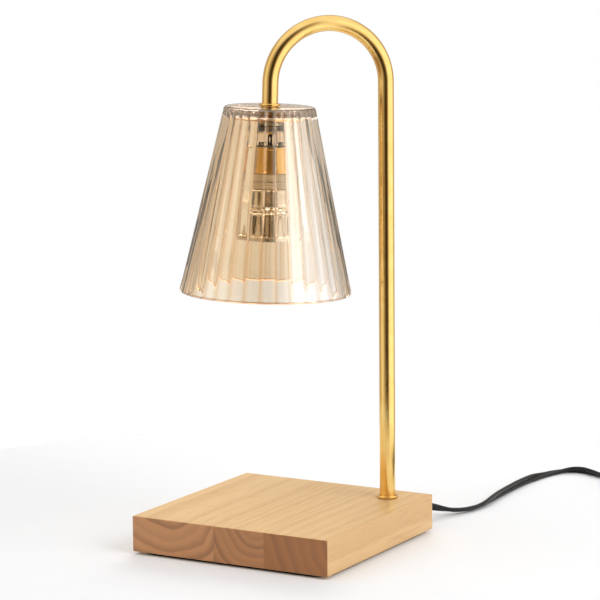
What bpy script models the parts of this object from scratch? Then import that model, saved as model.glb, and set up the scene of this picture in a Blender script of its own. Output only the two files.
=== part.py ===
"""Candle warmer lamp: a wooden base, a bent brass stem and a ribbed glass shade over a spot bulb.

All lengths are in metres, with +Z up. The origin is the middle of the base on the table.
The stem stands near the corner at +X +Y and arches over the base to the shade.
"""
import math

import bmesh
import bpy
from mathutils import Matrix, Vector

# Fits that many pieces share
FIT_GAP = 0.0003
CUT_OVERRUN = 0.002
MERGE = 0.00001
SMOOTH_STEPS = 24

# Wooden base, its underside pocket and the pad that it stands on
BASE_SIDE = 0.140
BLOCK_HEIGHT = 0.0229
BLOCK_EDGE = 0.0007
PAD_THICKNESS = 0.0015
PAD_INSET = 0.0035
PAD_CORNER = 0.010
POCKET_SIDE = 0.040
POCKET_DEPTH = 0.0165
POCKET_CORNER = 0.008
POCKET_ROOM = 0.0035
COVER_THICKNESS = 0.0015
COVER_SIDE = 0.0535
COVER_CORNER = 0.004
COVER_LIP = 0.0035
COVER_SCREW_INSET = 0.0042
COVER_SCREW_LENGTH = 0.010
SCREW_RADIUS = 0.0014
SCREW_HEAD_RADIUS = 0.0027

# Stem: one bent tube, its collars, washer and nuts
LAMP_HEIGHT = 0.3345
TUBE_RADIUS = 0.005
TUBE_WALL = 0.0008
POST_INSET = 0.0215
ARCH_RADIUS = 0.0375
ARCH_TURN = math.radians(225.0)
ARCH_BEND = math.radians(178.0)
ARCH_STEPS = 18
SHADE_DROP = 0.0145
TUBE_PROUD = 0.0012
COLLAR_RIM = 0.0017
COLLAR_HEIGHT = 0.0016
COLLAR_ROUND = 0.0005
WASHER_RADIUS = 0.009
WASHER_THICKNESS = 0.0014
NUT_WALL = 0.0020
NUT_HEIGHT = 0.0030
BASE_NUT_HEIGHT = 0.0041

# Ribbed glass shade and what clamps it
SHADE_HEIGHT = 0.1167
SHADE_TOP_RADIUS = 0.02843
SHADE_BOTTOM_RADIUS = 0.0540
SHADE_WALL = 0.0034
SHADE_ROOF = 0.0052
SHADE_SHOULDER = 0.0022
SHADE_INNER_ROUND = 0.0025
RIM_ROUND = 0.0012
SHADE_HOLE_CLEARANCE = 0.0006
RIB_COUNT = 34
RIB_HEIGHT = 0.0010
RIB_POINTS = 4
GASKET_WIDTH = 0.004
GASKET_THICKNESS = 0.0006
PLATE_MARGIN = 0.0029
PLATE_THICKNESS = 0.0017

# Lamp holder: bracket, ceramic body, brass sleeve and contacts
HOLDER_TURN = math.radians(30.0)
BRACKET_SHEET = 0.0010
BRACKET_ROOM = 0.0007
BRACKET_HEIGHT = 0.0131
BRACKET_MARGIN = 0.0012
HOLDER_RADIUS = 0.0104
HOLDER_LENGTH = 0.0166
HOLDER_FLANGE = 0.0045
HOLDER_FLOOR = 0.0036
HOLDER_BORE = 0.0026
CHAMBER_HEIGHT = 0.0058
CHAMBER_ROOM = 0.0011
SLEEVE_WALL = 0.0007
SLEEVE_GAP = 0.0004
FLANGE_LIP = 0.0005
HOLDER_SCREW_PLACE = 0.0062
HOLDER_SCREW_LENGTH = 0.006
HOLDER_SCREW_RADIUS = 0.0011
HOLDER_SCREW_HEAD = 0.0021
HOLDER_SCREW_HEAD_HEIGHT = 0.0014
CONTACT_START = 0.0006
CONTACT_SHEET = 0.0008
CONTACT_RISER = 0.0030
CONTACT_WIDTH = 0.0040

# Twist-lock spot bulb
PIN_CIRCLE = 0.005
PIN_RADIUS = 0.0015
PIN_HEAD_RADIUS = 0.0025
PIN_HEAD_HEIGHT = 0.0030
PIN_SEAT = 0.0030
BULB_TWIST = math.radians(45.0)
BULB_BASE_RADIUS = 0.0113
BULB_BASE_HEIGHT = 0.0045
REFLECTOR_HEIGHT = 0.0320
REFLECTOR_WALL = 0.0012
BULB_NECK_RADIUS = 0.0118
BULB_NECK_LENGTH = 0.0104
BULB_RIM_RADIUS = 0.0175
BULB_RIM_HEIGHT = 0.0030
BULB_RIM_LIP = 0.0018
FLARE_STEPS = 5
FLARE_POWER = 0.75
LENS_THICKNESS = 0.0014
CAPSULE_RADIUS = 0.0043
CAPSULE_LENGTH = 0.0160
CAPSULE_DROP = 0.0060
STEM_RADIUS = 0.0024
STEM_SEAT = 0.0014

# Wires inside the stem
WIRE_RADIUS = 0.0008
WIRE_OFFSET = 0.0013
WIRE_BULGE = 0.0020
WIRE_STEP = 0.009

# Mains cord: a flat twin cord, modelled as the round tube of the same section
CORD_WIDTH = 0.0056
CORD_THICKNESS = 0.0028
CORD_RADIUS = math.sqrt(CORD_WIDTH * CORD_THICKNESS) / 2
CORD_LIFT = 0.0007
CORD_STEP = 0.008
CORD_TAIL = 0.0012
CORD_SEAT = 0.003
RELIEF_LENGTH = 0.024
RELIEF_BACK_RADIUS = 0.0048
RELIEF_TIP_RADIUS = 0.0032
RELIEF_NECK_RADIUS = 0.0039
RELIEF_FLANGE_RADIUS = 0.0048
RELIEF_FLANGE = 0.0015
RELIEF_GROOVES = 5
RELIEF_GROOVE_DEPTH = 0.0005

# Inline dimmer on the cord
DIMMER_PLACE = (0.1632, 0.2429)
DIMMER_TURN = math.radians(-20.0)
DIMMER_LENGTH = 0.062
DIMMER_WIDTH = 0.025
DIMMER_HEIGHT = 0.017
DIMMER_WALL = 0.0016
DIMMER_EDGE = 0.0012
WHEEL_RADIUS = 0.0105
WHEEL_THICKNESS = 0.0040
WHEEL_PROUD = 0.0025
WHEEL_NOTCHES = 18
WHEEL_NOTCH_DEPTH = 0.0005
WHEEL_ROOM = 0.0006
AXLE_RADIUS = 0.0015
AXLE_SEAT = 0.0016
BOSS_WALL = 0.0014
BOARD_LENGTH = 0.030
BOARD_WIDTH = 0.016
BOARD_THICKNESS = 0.0012
BOARD_LIFT = 0.0010
POT_RADIUS = 0.0045
DIMMER_SCREW_INSET = 0.0070
DIMMER_SCREW_RADIUS = 0.0011
DIMMER_SCREW_HEAD = 0.0020
DIMMER_SCREW_HEAD_HEIGHT = 0.0012
DIMMER_SCREW_LENGTH = 0.0115

# Plug with two flat blades
PLUG_PLACE = (0.243, 0.112)
PLUG_NOSE = 0.014
PLUG_BODY = 0.022
PLUG_WIDTH = 0.0205
PLUG_THICKNESS = 0.0125
PLUG_EDGE = 0.0022
PLUG_NOSE_RADIUS = 0.0034
PLUG_BODY_RADIUS = 0.0052
PLUG_SEAT = 0.006
BLADE_LENGTH = 0.0163
BLADE_WIDTH = 0.0063
BLADE_SHEET = 0.0015
BLADE_SPACING = 0.0127
BLADE_HOLE = 0.0016

# Coil of spare cord and its tie
COIL_PLACE = (0.2068, 0.1845)
COIL_OUTER = 0.0400
COIL_PITCH = 0.0058
COIL_LAYER = 0.0044
COIL_START = math.radians(70.0)
COIL_TURNS = 7 + 70 / 360
COIL_CLIMB = 0.5
COIL_TURN_POINTS = 24
TIE_SHEET = 0.0006
TIE_WIDTH = 0.005
TIE_TURN = math.radians(215.0)
TIE_ROOM = 0.0005

# Levels and places worked out from the sizes above
BLOCK_BOTTOM = PAD_THICKNESS + FIT_GAP
BASE_TOP = BLOCK_BOTTOM + BLOCK_HEIGHT
COVER_TOP = BLOCK_BOTTOM + COVER_THICKNESS
POCKET_CEILING = BLOCK_BOTTOM + POCKET_DEPTH
POST_PLACE = BASE_SIDE / 2 - POST_INSET
POCKET_FAR = POST_PLACE + WASHER_RADIUS + POCKET_ROOM
POCKET_MIDDLE = POCKET_FAR - POCKET_SIDE / 2
COVER_MIDDLE = POCKET_FAR + COVER_LIP - COVER_SIDE / 2
WASHER_TOP = POCKET_CEILING - FIT_GAP
BASE_NUT_TOP = WASHER_TOP - WASHER_THICKNESS - FIT_GAP
TUBE_FOOT = BASE_NUT_TOP - BASE_NUT_HEIGHT - TUBE_PROUD
CORD_EXIT_HEIGHT = COVER_TOP + RELIEF_FLANGE_RADIUS + CORD_LIFT
ARCH_LEVEL = LAMP_HEIGHT - TUBE_RADIUS - ARCH_RADIUS
SHADE_X = POST_PLACE + 2 * ARCH_RADIUS * math.cos(ARCH_TURN)
SHADE_Y = POST_PLACE + 2 * ARCH_RADIUS * math.sin(ARCH_TURN)
SHADE_TOP = ARCH_LEVEL - SHADE_DROP
SHADE_FOOT = SHADE_TOP - SHADE_HEIGHT
TUBE_BORE = TUBE_RADIUS + FIT_GAP
NUT_CORNER = (TUBE_RADIUS + NUT_WALL) / math.cos(math.pi / 6)
SHADE_HOLE = TUBE_RADIUS + SHADE_HOLE_CLEARANCE
CEILING = SHADE_TOP - SHADE_ROOF
GASKET_TOP = CEILING - FIT_GAP
PLATE_TOP = GASKET_TOP - GASKET_THICKNESS - FIT_GAP
SHADE_NUT_TOP = PLATE_TOP - PLATE_THICKNESS - FIT_GAP
BRACKET_TOP = SHADE_NUT_TOP - NUT_HEIGHT - FIT_GAP
BRACKET_NUT_TOP = BRACKET_TOP - BRACKET_SHEET - FIT_GAP
TUBE_END = BRACKET_NUT_TOP - NUT_HEIGHT - TUBE_PROUD
BRACKET_HALF = NUT_CORNER + BRACKET_ROOM + BRACKET_SHEET
BRACKET_DEPTH = 2 * (TUBE_BORE + BRACKET_MARGIN)
BRACKET_FOOT = BRACKET_TOP - BRACKET_HEIGHT
HOLDER_TOP = BRACKET_FOOT - FIT_GAP
FLANGE_TOP = HOLDER_TOP - HOLDER_LENGTH
FLANGE_FOOT = FLANGE_TOP - HOLDER_FLANGE
SLEEVE_RADIUS = HOLDER_RADIUS + SLEEVE_GAP + SLEEVE_WALL
FLANGE_RADIUS = SLEEVE_RADIUS + FLANGE_LIP
CHAMBER_FOOT = FLANGE_FOOT + HOLDER_FLOOR
CHAMBER_TOP = CHAMBER_FOOT + CHAMBER_HEIGHT
CHAMBER_RADIUS = PIN_CIRCLE + PIN_HEAD_RADIUS + CHAMBER_ROOM
BULB_TOP = FLANGE_FOOT - FIT_GAP
PIN_HEAD_FOOT = CHAMBER_FOOT + FIT_GAP
PIN_TOP = PIN_HEAD_FOOT + PIN_HEAD_HEIGHT
CONTACT_FOOT = PIN_TOP + FIT_GAP
BULB_BASE_FOOT = BULB_TOP - BULB_BASE_HEIGHT
REFLECTOR_TOP = BULB_BASE_FOOT - FIT_GAP
REFLECTOR_FOOT = REFLECTOR_TOP - REFLECTOR_HEIGHT
CORD_START = POCKET_FAR - FIT_GAP - RELIEF_FLANGE - CORD_TAIL
DIMMER_MIDDLE = DIMMER_HEIGHT / 2
COIL_FLOOR = CORD_RADIUS + TIE_SHEET + FIT_GAP
SPIRAL_TURNS = (COIL_TURNS - COIL_CLIMB) / 2
COIL_INNER = COIL_OUTER - COIL_PITCH * SPIRAL_TURNS

# The tube's bend stops just short of a half circle, so the shade and the bulb hang a little out of
# plumb. Their pieces are made upright, and this turn about the middle of the bend hangs them.
ACROSS = Vector((math.cos(ARCH_TURN), math.sin(ARCH_TURN), 0.0))
SIDEWAYS = Vector((-ACROSS.y, ACROSS.x, 0.0))
BEND_MIDDLE = Vector((POST_PLACE, POST_PLACE, ARCH_LEVEL)) + ARCH_RADIUS * ACROSS
LEAN = (
    Matrix.Translation(BEND_MIDDLE) @ Matrix.Rotation(ARCH_BEND - math.pi, 4, SIDEWAYS)
    @ Matrix.Translation(-BEND_MIDDLE)
)

# The routes of the cord's free stretches, as points chosen along the table
LEAD_ROUTE = [
    (0.0505, 0.1030, 0.0074), (0.0555, 0.1110, 0.0050), (0.0620, 0.1200, 0.0032),
    (0.0668, 0.1310, 0.0022), (0.0690, 0.1450, 0.0020), (0.0685, 0.1600, 0.0020),
    (0.0670, 0.1780, 0.0020), (0.0660, 0.1960, 0.0020), (0.0655, 0.2140, 0.0020),
    (0.0660, 0.2320, 0.0020), (0.0675, 0.2480, 0.0020), (0.0712, 0.2612, 0.0020),
    (0.0780, 0.2695, 0.0020), (0.0870, 0.2712, 0.0020), (0.0960, 0.2682, 0.0020),
    (0.1059, 0.2639, 0.0025), (0.1153, 0.2603, 0.0046), (0.1247, 0.2569, 0.0074),
    (0.1310, 0.2546, 0.0085),
]
LINK_ROUTE = [(0.1975, 0.2304, 0.0079), (0.2027, 0.2286, 0.0057), (0.2080, 0.2266, 0.0035)]
TAIL_ROUTE = [
    (0.2467, 0.1700, 0.0059), (0.2463, 0.1610, 0.0036), (0.2456, 0.1520, 0.0022),
    (0.2447, 0.1430, 0.0020), (0.2437, 0.1340, 0.0027), (0.2431, 0.1260, 0.0044),
    (0.2430, 0.1190, 0.0060),
]

# Finishes: colour, roughness, metallic
FINISHES = {
    "honey_wood": ((0.72, 0.47, 0.25), 0.35, 0.0),
    "brass": ((0.83, 0.62, 0.27), 0.22, 1.0),
    "amber_glass": ((0.86, 0.64, 0.38), 0.05, 0.0),
    "black_rubber": ((0.03, 0.03, 0.03), 0.6, 0.0),
    "black_plastic": ((0.04, 0.04, 0.04), 0.4, 0.0),
    "clear_silicone": ((0.85, 0.85, 0.82), 0.4, 0.0),
    "zinc_steel": ((0.66, 0.66, 0.68), 0.3, 1.0),
    "chrome": ((0.80, 0.80, 0.82), 0.1, 1.0),
    "ceramic": ((0.80, 0.72, 0.58), 0.5, 0.0),
    "mirror_coat": ((0.88, 0.84, 0.76), 0.08, 1.0),
    "clear_glass": ((0.92, 0.94, 0.94), 0.03, 0.0),
    "green_board": ((0.08, 0.30, 0.14), 0.5, 0.0),
}


def clear_scene():
    """Remove what the scene holds, so that each run starts alike."""
    for item in list(bpy.data.objects):
        bpy.data.objects.remove(item, do_unlink=True)
    for group in list(bpy.data.collections):
        bpy.data.collections.remove(group)


def new_collection(name):
    group = bpy.data.collections.new(name)
    bpy.context.scene.collection.children.link(group)
    return group


def finish(name):
    """The material of this name, made on first use."""
    made = bpy.data.materials.get(name)
    if made:
        return made
    colour, roughness, metallic = FINISHES[name]
    made = bpy.data.materials.new(name)
    made.use_nodes = True
    shader = made.node_tree.nodes["Principled BSDF"]
    shader.inputs["Base Color"].default_value = (*colour, 1.0)
    shader.inputs["Roughness"].default_value = roughness
    shader.inputs["Metallic"].default_value = metallic
    made.diffuse_color = (*colour, 1.0)
    return made


def stand(name, place, turn=0.0, parent=None):
    """An empty that carries the pieces of one group."""
    empty = bpy.data.objects.new(name, None)
    empty.location = place
    empty.rotation_euler = (0.0, 0.0, turn)
    empty.parent = parent
    PARTS.objects.link(empty)
    return empty


def add_piece(name, mesh, coat, parent=None):
    """A named piece of the lamp with its material, smooth where it is round."""
    if coat:
        mesh.materials.append(finish(coat))
    mesh.shade_smooth()
    mesh.set_sharp_from_angle(angle=math.radians(32.0))
    item = bpy.data.objects.new(name, mesh)
    PARTS.objects.link(item)
    item.parent = parent
    return item


def to_mesh(shape, name):
    mesh = bpy.data.meshes.new(name)
    shape.to_mesh(mesh)
    shape.free()
    return mesh


def box(name, size, middle, coat=None, parent=None):
    """A rectangular block, from its size and its middle."""
    shape = bmesh.new()
    bmesh.ops.create_cube(shape, size=1.0)
    bmesh.ops.scale(shape, vec=size, verts=shape.verts)
    bmesh.ops.translate(shape, vec=middle, verts=shape.verts)
    return add_piece(name, to_mesh(shape, name), coat, parent)


def bar(name, radius, low, high, coat=None, parent=None, place=(0.0, 0.0), high_radius=None, sides=24):
    """An upright round bar, cone or prism between two heights."""
    shape = bmesh.new()
    top = radius if high_radius is None else high_radius
    bmesh.ops.create_cone(
        shape, cap_ends=True, segments=sides, radius1=radius, radius2=top, depth=high - low
    )
    bmesh.ops.translate(shape, vec=(*place, (low + high) / 2), verts=shape.verts)
    return add_piece(name, to_mesh(shape, name), coat, parent)


def turned(name, profile, coat=None, parent=None, steps=24, ring=True):
    """A turned piece: the profile's (radius, height) points run down its outer side."""
    count = len(profile)
    points = [(radius, 0.0, height) for radius, height in profile]
    edges = [(i, i + 1) for i in range(count - 1)]
    if ring:
        edges.append((count - 1, 0))
    mesh = bpy.data.meshes.new(name)
    mesh.from_pydata(points, edges, [])
    item = add_piece(name, mesh, coat, parent)
    screw = item.modifiers.new("turn", "SCREW")
    screw.axis = "Z"
    screw.steps = steps
    screw.render_steps = steps
    screw.use_merge_vertices = True
    screw.merge_threshold = MERGE
    screw.use_smooth_shade = True
    return item


def as_mesh(item):
    """Replace an object by a plain mesh object with the same name and place."""
    bpy.context.view_layer.update()
    depsgraph = bpy.context.evaluated_depsgraph_get()
    mesh = bpy.data.meshes.new_from_object(item.evaluated_get(depsgraph))
    shape = bmesh.new()
    shape.from_mesh(mesh)
    bmesh.ops.remove_doubles(shape, verts=shape.verts, dist=MERGE)
    shape.to_mesh(mesh)
    shape.free()
    name, place, parent = item.name, item.matrix_world.copy(), item.parent
    bpy.data.objects.remove(item, do_unlink=True)
    solid = bpy.data.objects.new(name, mesh)
    PARTS.objects.link(solid)
    solid.parent = parent
    solid.matrix_world = place
    return solid


def plate(name, outlines, low, high, coat=None, parent=None):
    """A flat piece from one outer outline and any inner ones, between two heights."""
    curve = bpy.data.curves.new(name, "CURVE")
    curve.dimensions = "2D"
    curve.fill_mode = "BOTH"
    curve.extrude = (high - low) / 2
    for outline in outlines:
        spline = curve.splines.new("POLY")
        spline.points.add(len(outline) - 1)
        for point, (x, y) in zip(spline.points, outline):
            point.co = (x, y, 0.0, 1.0)
        spline.use_cyclic_u = True
    flat = bpy.data.objects.new(name, curve)
    PARTS.objects.link(flat)
    solid = as_mesh(flat)
    mesh = solid.data
    mesh.transform(Matrix.Translation((0.0, 0.0, (low + high) / 2)))
    bpy.data.objects.remove(solid, do_unlink=True)
    mesh.materials.clear()
    return add_piece(name, mesh, coat, parent)


def rod(name, points, radius, coat, resolution=2):
    """A solid round rod along a list of points."""
    curve = bpy.data.curves.new(name, "CURVE")
    curve.dimensions = "3D"
    curve.bevel_depth = radius
    curve.bevel_resolution = resolution
    curve.use_fill_caps = True
    spline = curve.splines.new("POLY")
    spline.points.add(len(points) - 1)
    for point, place in zip(spline.points, points):
        point.co = (*place, 1.0)
    curve.materials.append(finish(coat))
    item = bpy.data.objects.new(name, curve)
    PARTS.objects.link(item)
    return item


def as_cutter(item):
    """Hide a shape that only cuts, and file it with the other cutters."""
    item.name = "cut_" + item.name
    item.hide_render = True
    item.display_type = "WIRE"
    PARTS.objects.unlink(item)
    CUTTERS.objects.link(item)
    return item


def combine(item, others, operation):
    """Add or take away the other shapes, one after another."""
    for other in others:
        tool = item.modifiers.new(other.name, "BOOLEAN")
        tool.operation = operation
        tool.solver = "EXACT"
        tool.object = other if other.hide_render else as_cutter(other)


def cut(item, *others):
    combine(item, others, "DIFFERENCE")


def join(item, *others):
    combine(item, others, "UNION")


def soften(item, width, segments=2):
    """Round the sharp edges of a piece."""
    bevel = item.modifiers.new("edges", "BEVEL")
    bevel.width = width
    bevel.segments = segments
    bevel.limit_method = "ANGLE"


def arc(centre_x, centre_y, radius, start, end, steps):
    """Points along an arc, both ends included."""
    points = []
    for step in range(steps + 1):
        angle = start + (end - start) * step / steps
        points.append((centre_x + radius * math.cos(angle), centre_y + radius * math.sin(angle)))
    return points


def rounded_rectangle(width, depth, corner, middle_x=0.0, middle_y=0.0, steps=4):
    """A rectangle's outline with round corners."""
    points = []
    for side_x, side_y, quarter in ((1, 1, 0), (-1, 1, 1), (-1, -1, 2), (1, -1, 3)):
        centre_x = middle_x + side_x * (width / 2 - corner)
        centre_y = middle_y + side_y * (depth / 2 - corner)
        start = quarter * math.pi / 2
        points.extend(arc(centre_x, centre_y, corner, start, start + math.pi / 2, steps))
    return points


def arc_slot(circle, half_width, start, end, steps=6):
    """The outline of a slot that follows a circle about the origin, with round ends."""
    outer = arc(0.0, 0.0, circle + half_width, start, end, steps)
    inner = arc(0.0, 0.0, circle - half_width, end, start, steps)
    end_x, end_y = circle * math.cos(end), circle * math.sin(end)
    start_x, start_y = circle * math.cos(start), circle * math.sin(start)
    round_end = arc(end_x, end_y, half_width, end, end + math.pi, steps)
    round_start = arc(start_x, start_y, half_width, start + math.pi, start + 2 * math.pi, steps)
    return outer + round_end[1:-1] + inner + round_start[1:-1]


def smooth_route(points, spacing):
    """Points an even step apart on a smooth curve through the given points."""
    places = [Vector(point) for point in points]
    ends = [2 * places[0] - places[1]] + places + [2 * places[-1] - places[-2]]
    dense = []
    for index in range(1, len(ends) - 2):
        before, first, last, after = ends[index - 1:index + 3]
        reach = (last - first).length
        leave = (last - before).normalized() * reach
        arrive = (after - first).normalized() * reach
        for step in range(SMOOTH_STEPS):
            t = step / SMOOTH_STEPS
            dense.append(
                first * (2 * t**3 - 3 * t**2 + 1) + leave * (t**3 - 2 * t**2 + t)
                + last * (3 * t**2 - 2 * t**3) + arrive * (t**3 - t**2)
            )
    dense.append(places[-1])
    total = sum((b - a).length for a, b in zip(dense, dense[1:]))
    count = max(2, round(total / spacing))
    even, walked, goal = [dense[0]], 0.0, total / count
    for a, b in zip(dense, dense[1:]):
        run = (b - a).length
        while walked + run >= goal and len(even) < count:
            even.append(a.lerp(b, (goal - walked) / run))
            goal += total / count
        walked += run
    even.append(dense[-1])
    return [tuple(place) for place in even], total


def collar(name, place_x, place_y, foot, parent=None):
    """A brass collar round the tube, with a softened outer edge."""
    rim = TUBE_RADIUS + COLLAR_RIM
    top = foot + COLLAR_HEIGHT
    soft = COLLAR_ROUND
    profile = [(TUBE_BORE, top)]
    profile += reversed(arc(rim - soft, top - soft, soft, 0.0, math.pi / 2, 3))
    profile += [(rim, foot), (TUBE_BORE, foot)]
    item = turned(name, profile, "brass", parent)
    item.location = (place_x, place_y, 0.0)
    return item


def hex_nut(name, place_x, place_y, top, height, coat, parent=None):
    """A hexagon nut round the tube."""
    nut = bar(name, NUT_CORNER, top - height, top, coat, parent, sides=6)
    hole = bar(name + "_bore", TUBE_BORE, top - height - CUT_OVERRUN, top + CUT_OVERRUN, None, parent)
    cut(nut, hole)
    nut.location = hole.location = (place_x, place_y, 0.0)
    return nut


def countersunk_screw(name, x, y, head_foot):
    """A countersunk wood screw that points up, with its head at the bottom."""
    sink = COVER_THICKNESS
    tip = head_foot + COVER_SCREW_LENGTH
    profile = [
        (0.0, tip), (SCREW_RADIUS, tip - 2 * SCREW_RADIUS), (SCREW_RADIUS, head_foot + sink),
        (SCREW_HEAD_RADIUS, head_foot), (0.0, head_foot),
    ]
    screw = turned(name, profile, "zinc_steel", steps=16, ring=False)
    screw.location = (x, y, 0.0)
    slot_size = (2 * SCREW_HEAD_RADIUS, SCREW_RADIUS / 2, SCREW_RADIUS)
    slot = box(name + "_slot", slot_size, (0.0, 0.0, head_foot))
    slot.location = (x, y, 0.0)
    cut(screw, slot)
    return screw


def make_base():
    """The wooden block, the pad under it and the cover of its underside pocket."""
    block = box(
        "base_block", (BASE_SIDE, BASE_SIDE, BLOCK_HEIGHT), (0.0, 0.0, BLOCK_BOTTOM + BLOCK_HEIGHT / 2),
        "honey_wood",
    )
    soften(block, BLOCK_EDGE)
    below = BLOCK_BOTTOM - CUT_OVERRUN
    pocket_outline = rounded_rectangle(
        POCKET_SIDE, POCKET_SIDE, POCKET_CORNER, POCKET_MIDDLE, POCKET_MIDDLE
    )
    pocket = plate("pocket", [pocket_outline], below, POCKET_CEILING)
    rebate_side = COVER_SIDE + 2 * FIT_GAP
    rebate_outline = rounded_rectangle(
        rebate_side, rebate_side, COVER_CORNER + FIT_GAP, COVER_MIDDLE, COVER_MIDDLE
    )
    rebate = plate("rebate", [rebate_outline], below, COVER_TOP + FIT_GAP)
    post_hole = bar(
        "post_hole", TUBE_BORE, POCKET_CEILING - CUT_OVERRUN, BASE_TOP + CUT_OVERRUN,
        place=(POST_PLACE, POST_PLACE),
    )
    cord_hole = bar(
        "cord_hole", RELIEF_NECK_RADIUS + FIT_GAP, POCKET_FAR - CUT_OVERRUN, BASE_SIDE / 2 + CUT_OVERRUN
    )
    cord_hole.rotation_euler = (-math.pi / 2, 0.0, 0.0)
    cord_hole.location = (POST_PLACE, 0.0, CORD_EXIT_HEIGHT)
    cut(block, pocket, rebate, post_hole, cord_hole)

    cover_outline = rounded_rectangle(COVER_SIDE, COVER_SIDE, COVER_CORNER, COVER_MIDDLE, COVER_MIDDLE)
    cover = plate("pocket_cover", [cover_outline], BLOCK_BOTTOM, COVER_TOP, "black_plastic")
    reach = COVER_SIDE / 2 - COVER_SCREW_INSET
    number = 0
    for side_x in (-1, 1):
        for side_y in (-1, 1):
            number += 1
            x, y = COVER_MIDDLE + side_x * reach, COVER_MIDDLE + side_y * reach
            countersunk_screw(f"cover_screw_{number}", x, y, BLOCK_BOTTOM)
            pilot = bar(
                f"pilot_{number}", SCREW_RADIUS + FIT_GAP, COVER_TOP - FIT_GAP,
                BLOCK_BOTTOM + COVER_SCREW_LENGTH + FIT_GAP, place=(x, y), sides=16,
            )
            sink = bar(
                f"sink_{number}", SCREW_HEAD_RADIUS + 2 * FIT_GAP, BLOCK_BOTTOM - FIT_GAP,
                COVER_TOP + FIT_GAP, place=(x, y), high_radius=SCREW_RADIUS + FIT_GAP, sides=16,
            )
            cut(block, pilot)
            cut(cover, sink)

    pad_side = BASE_SIDE - 2 * PAD_INSET
    pad_outline = rounded_rectangle(pad_side, pad_side, PAD_CORNER)
    plate("anti_slip_pad", [pad_outline], 0.0, PAD_THICKNESS, "black_rubber")


def stem_line():
    """The middle line of the bent tube, from its foot to its end over the shade."""
    post = Vector((POST_PLACE, POST_PLACE, 0.0))
    line = [post + Vector((0.0, 0.0, TUBE_FOOT))]
    for step in range(ARCH_STEPS + 1):
        angle = ARCH_BEND * step / ARCH_STEPS
        reach = ARCH_RADIUS * (1 - math.cos(angle))
        height = ARCH_LEVEL + ARCH_RADIUS * math.sin(angle)
        line.append(post + ACROSS * reach + Vector((0.0, 0.0, height)))
    line.append(LEAN @ Vector((SHADE_X, SHADE_Y, TUBE_END)))
    return line


def make_stem(hang):
    """The bent tube with its collars, and the washer and nut that hold it to the base."""
    tube = rod("stem_tube", stem_line(), TUBE_RADIUS, "brass", resolution=6)
    tube.data.use_fill_caps = False
    tube = as_mesh(tube)
    wall = tube.modifiers.new("wall", "SOLIDIFY")
    wall.thickness = TUBE_WALL
    wall.offset = -1.0
    wall.use_even_offset = True
    collar("base_collar", POST_PLACE, POST_PLACE, BASE_TOP + FIT_GAP)
    collar("shade_collar", SHADE_X, SHADE_Y, SHADE_TOP + FIT_GAP, hang)
    washer_foot = WASHER_TOP - WASHER_THICKNESS
    washer = turned("base_washer", [
        (TUBE_BORE, WASHER_TOP), (WASHER_RADIUS, WASHER_TOP),
        (WASHER_RADIUS, washer_foot), (TUBE_BORE, washer_foot),
    ], "zinc_steel")
    washer.location = (POST_PLACE, POST_PLACE, 0.0)
    hex_nut("base_nut", POST_PLACE, POST_PLACE, BASE_NUT_TOP, BASE_NUT_HEIGHT, "zinc_steel")


def shade_radius(height):
    """The shade's outer radius at a height over its rim, at the crests of its ribs."""
    return SHADE_BOTTOM_RADIUS + (SHADE_TOP_RADIUS - SHADE_BOTTOM_RADIUS) * height / SHADE_HEIGHT


def shade_profile():
    """The shade's wall as (radius, height, share of the full rib) points from the hole outward."""
    top, soft, rim = SHADE_HEIGHT, SHADE_SHOULDER, RIM_ROUND
    shoulder_x = shade_radius(top - soft) - soft
    points = [(SHADE_HOLE, top, 0.0)]
    shoulder = arc(shoulder_x, top - soft, soft, math.pi / 2, 0.0, 3)
    for (radius, height), share in zip(shoulder, (0.0, 0.35, 0.8, 1.0)):
        points.append((radius, height, share))
    points.append((shade_radius(rim), rim, 1.0))
    points.append((SHADE_BOTTOM_RADIUS - rim / 2, rim / 4, 0.8))
    points.append((SHADE_BOTTOM_RADIUS - rim, 0.0, 0.4))
    points.append((SHADE_BOTTOM_RADIUS - SHADE_WALL + rim / 2, 0.0, 0.0))
    points.append((shade_radius(rim) - SHADE_WALL, rim, 0.0))
    ceiling, inner = top - SHADE_ROOF, SHADE_INNER_ROUND
    corner_x = shade_radius(ceiling - inner) - SHADE_WALL - inner
    for radius, height in arc(corner_x, ceiling - inner, inner, 0.0, math.pi / 2, 3):
        points.append((radius, height, 0.0))
    points.append((SHADE_HOLE, ceiling, 0.0))
    return points


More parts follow.
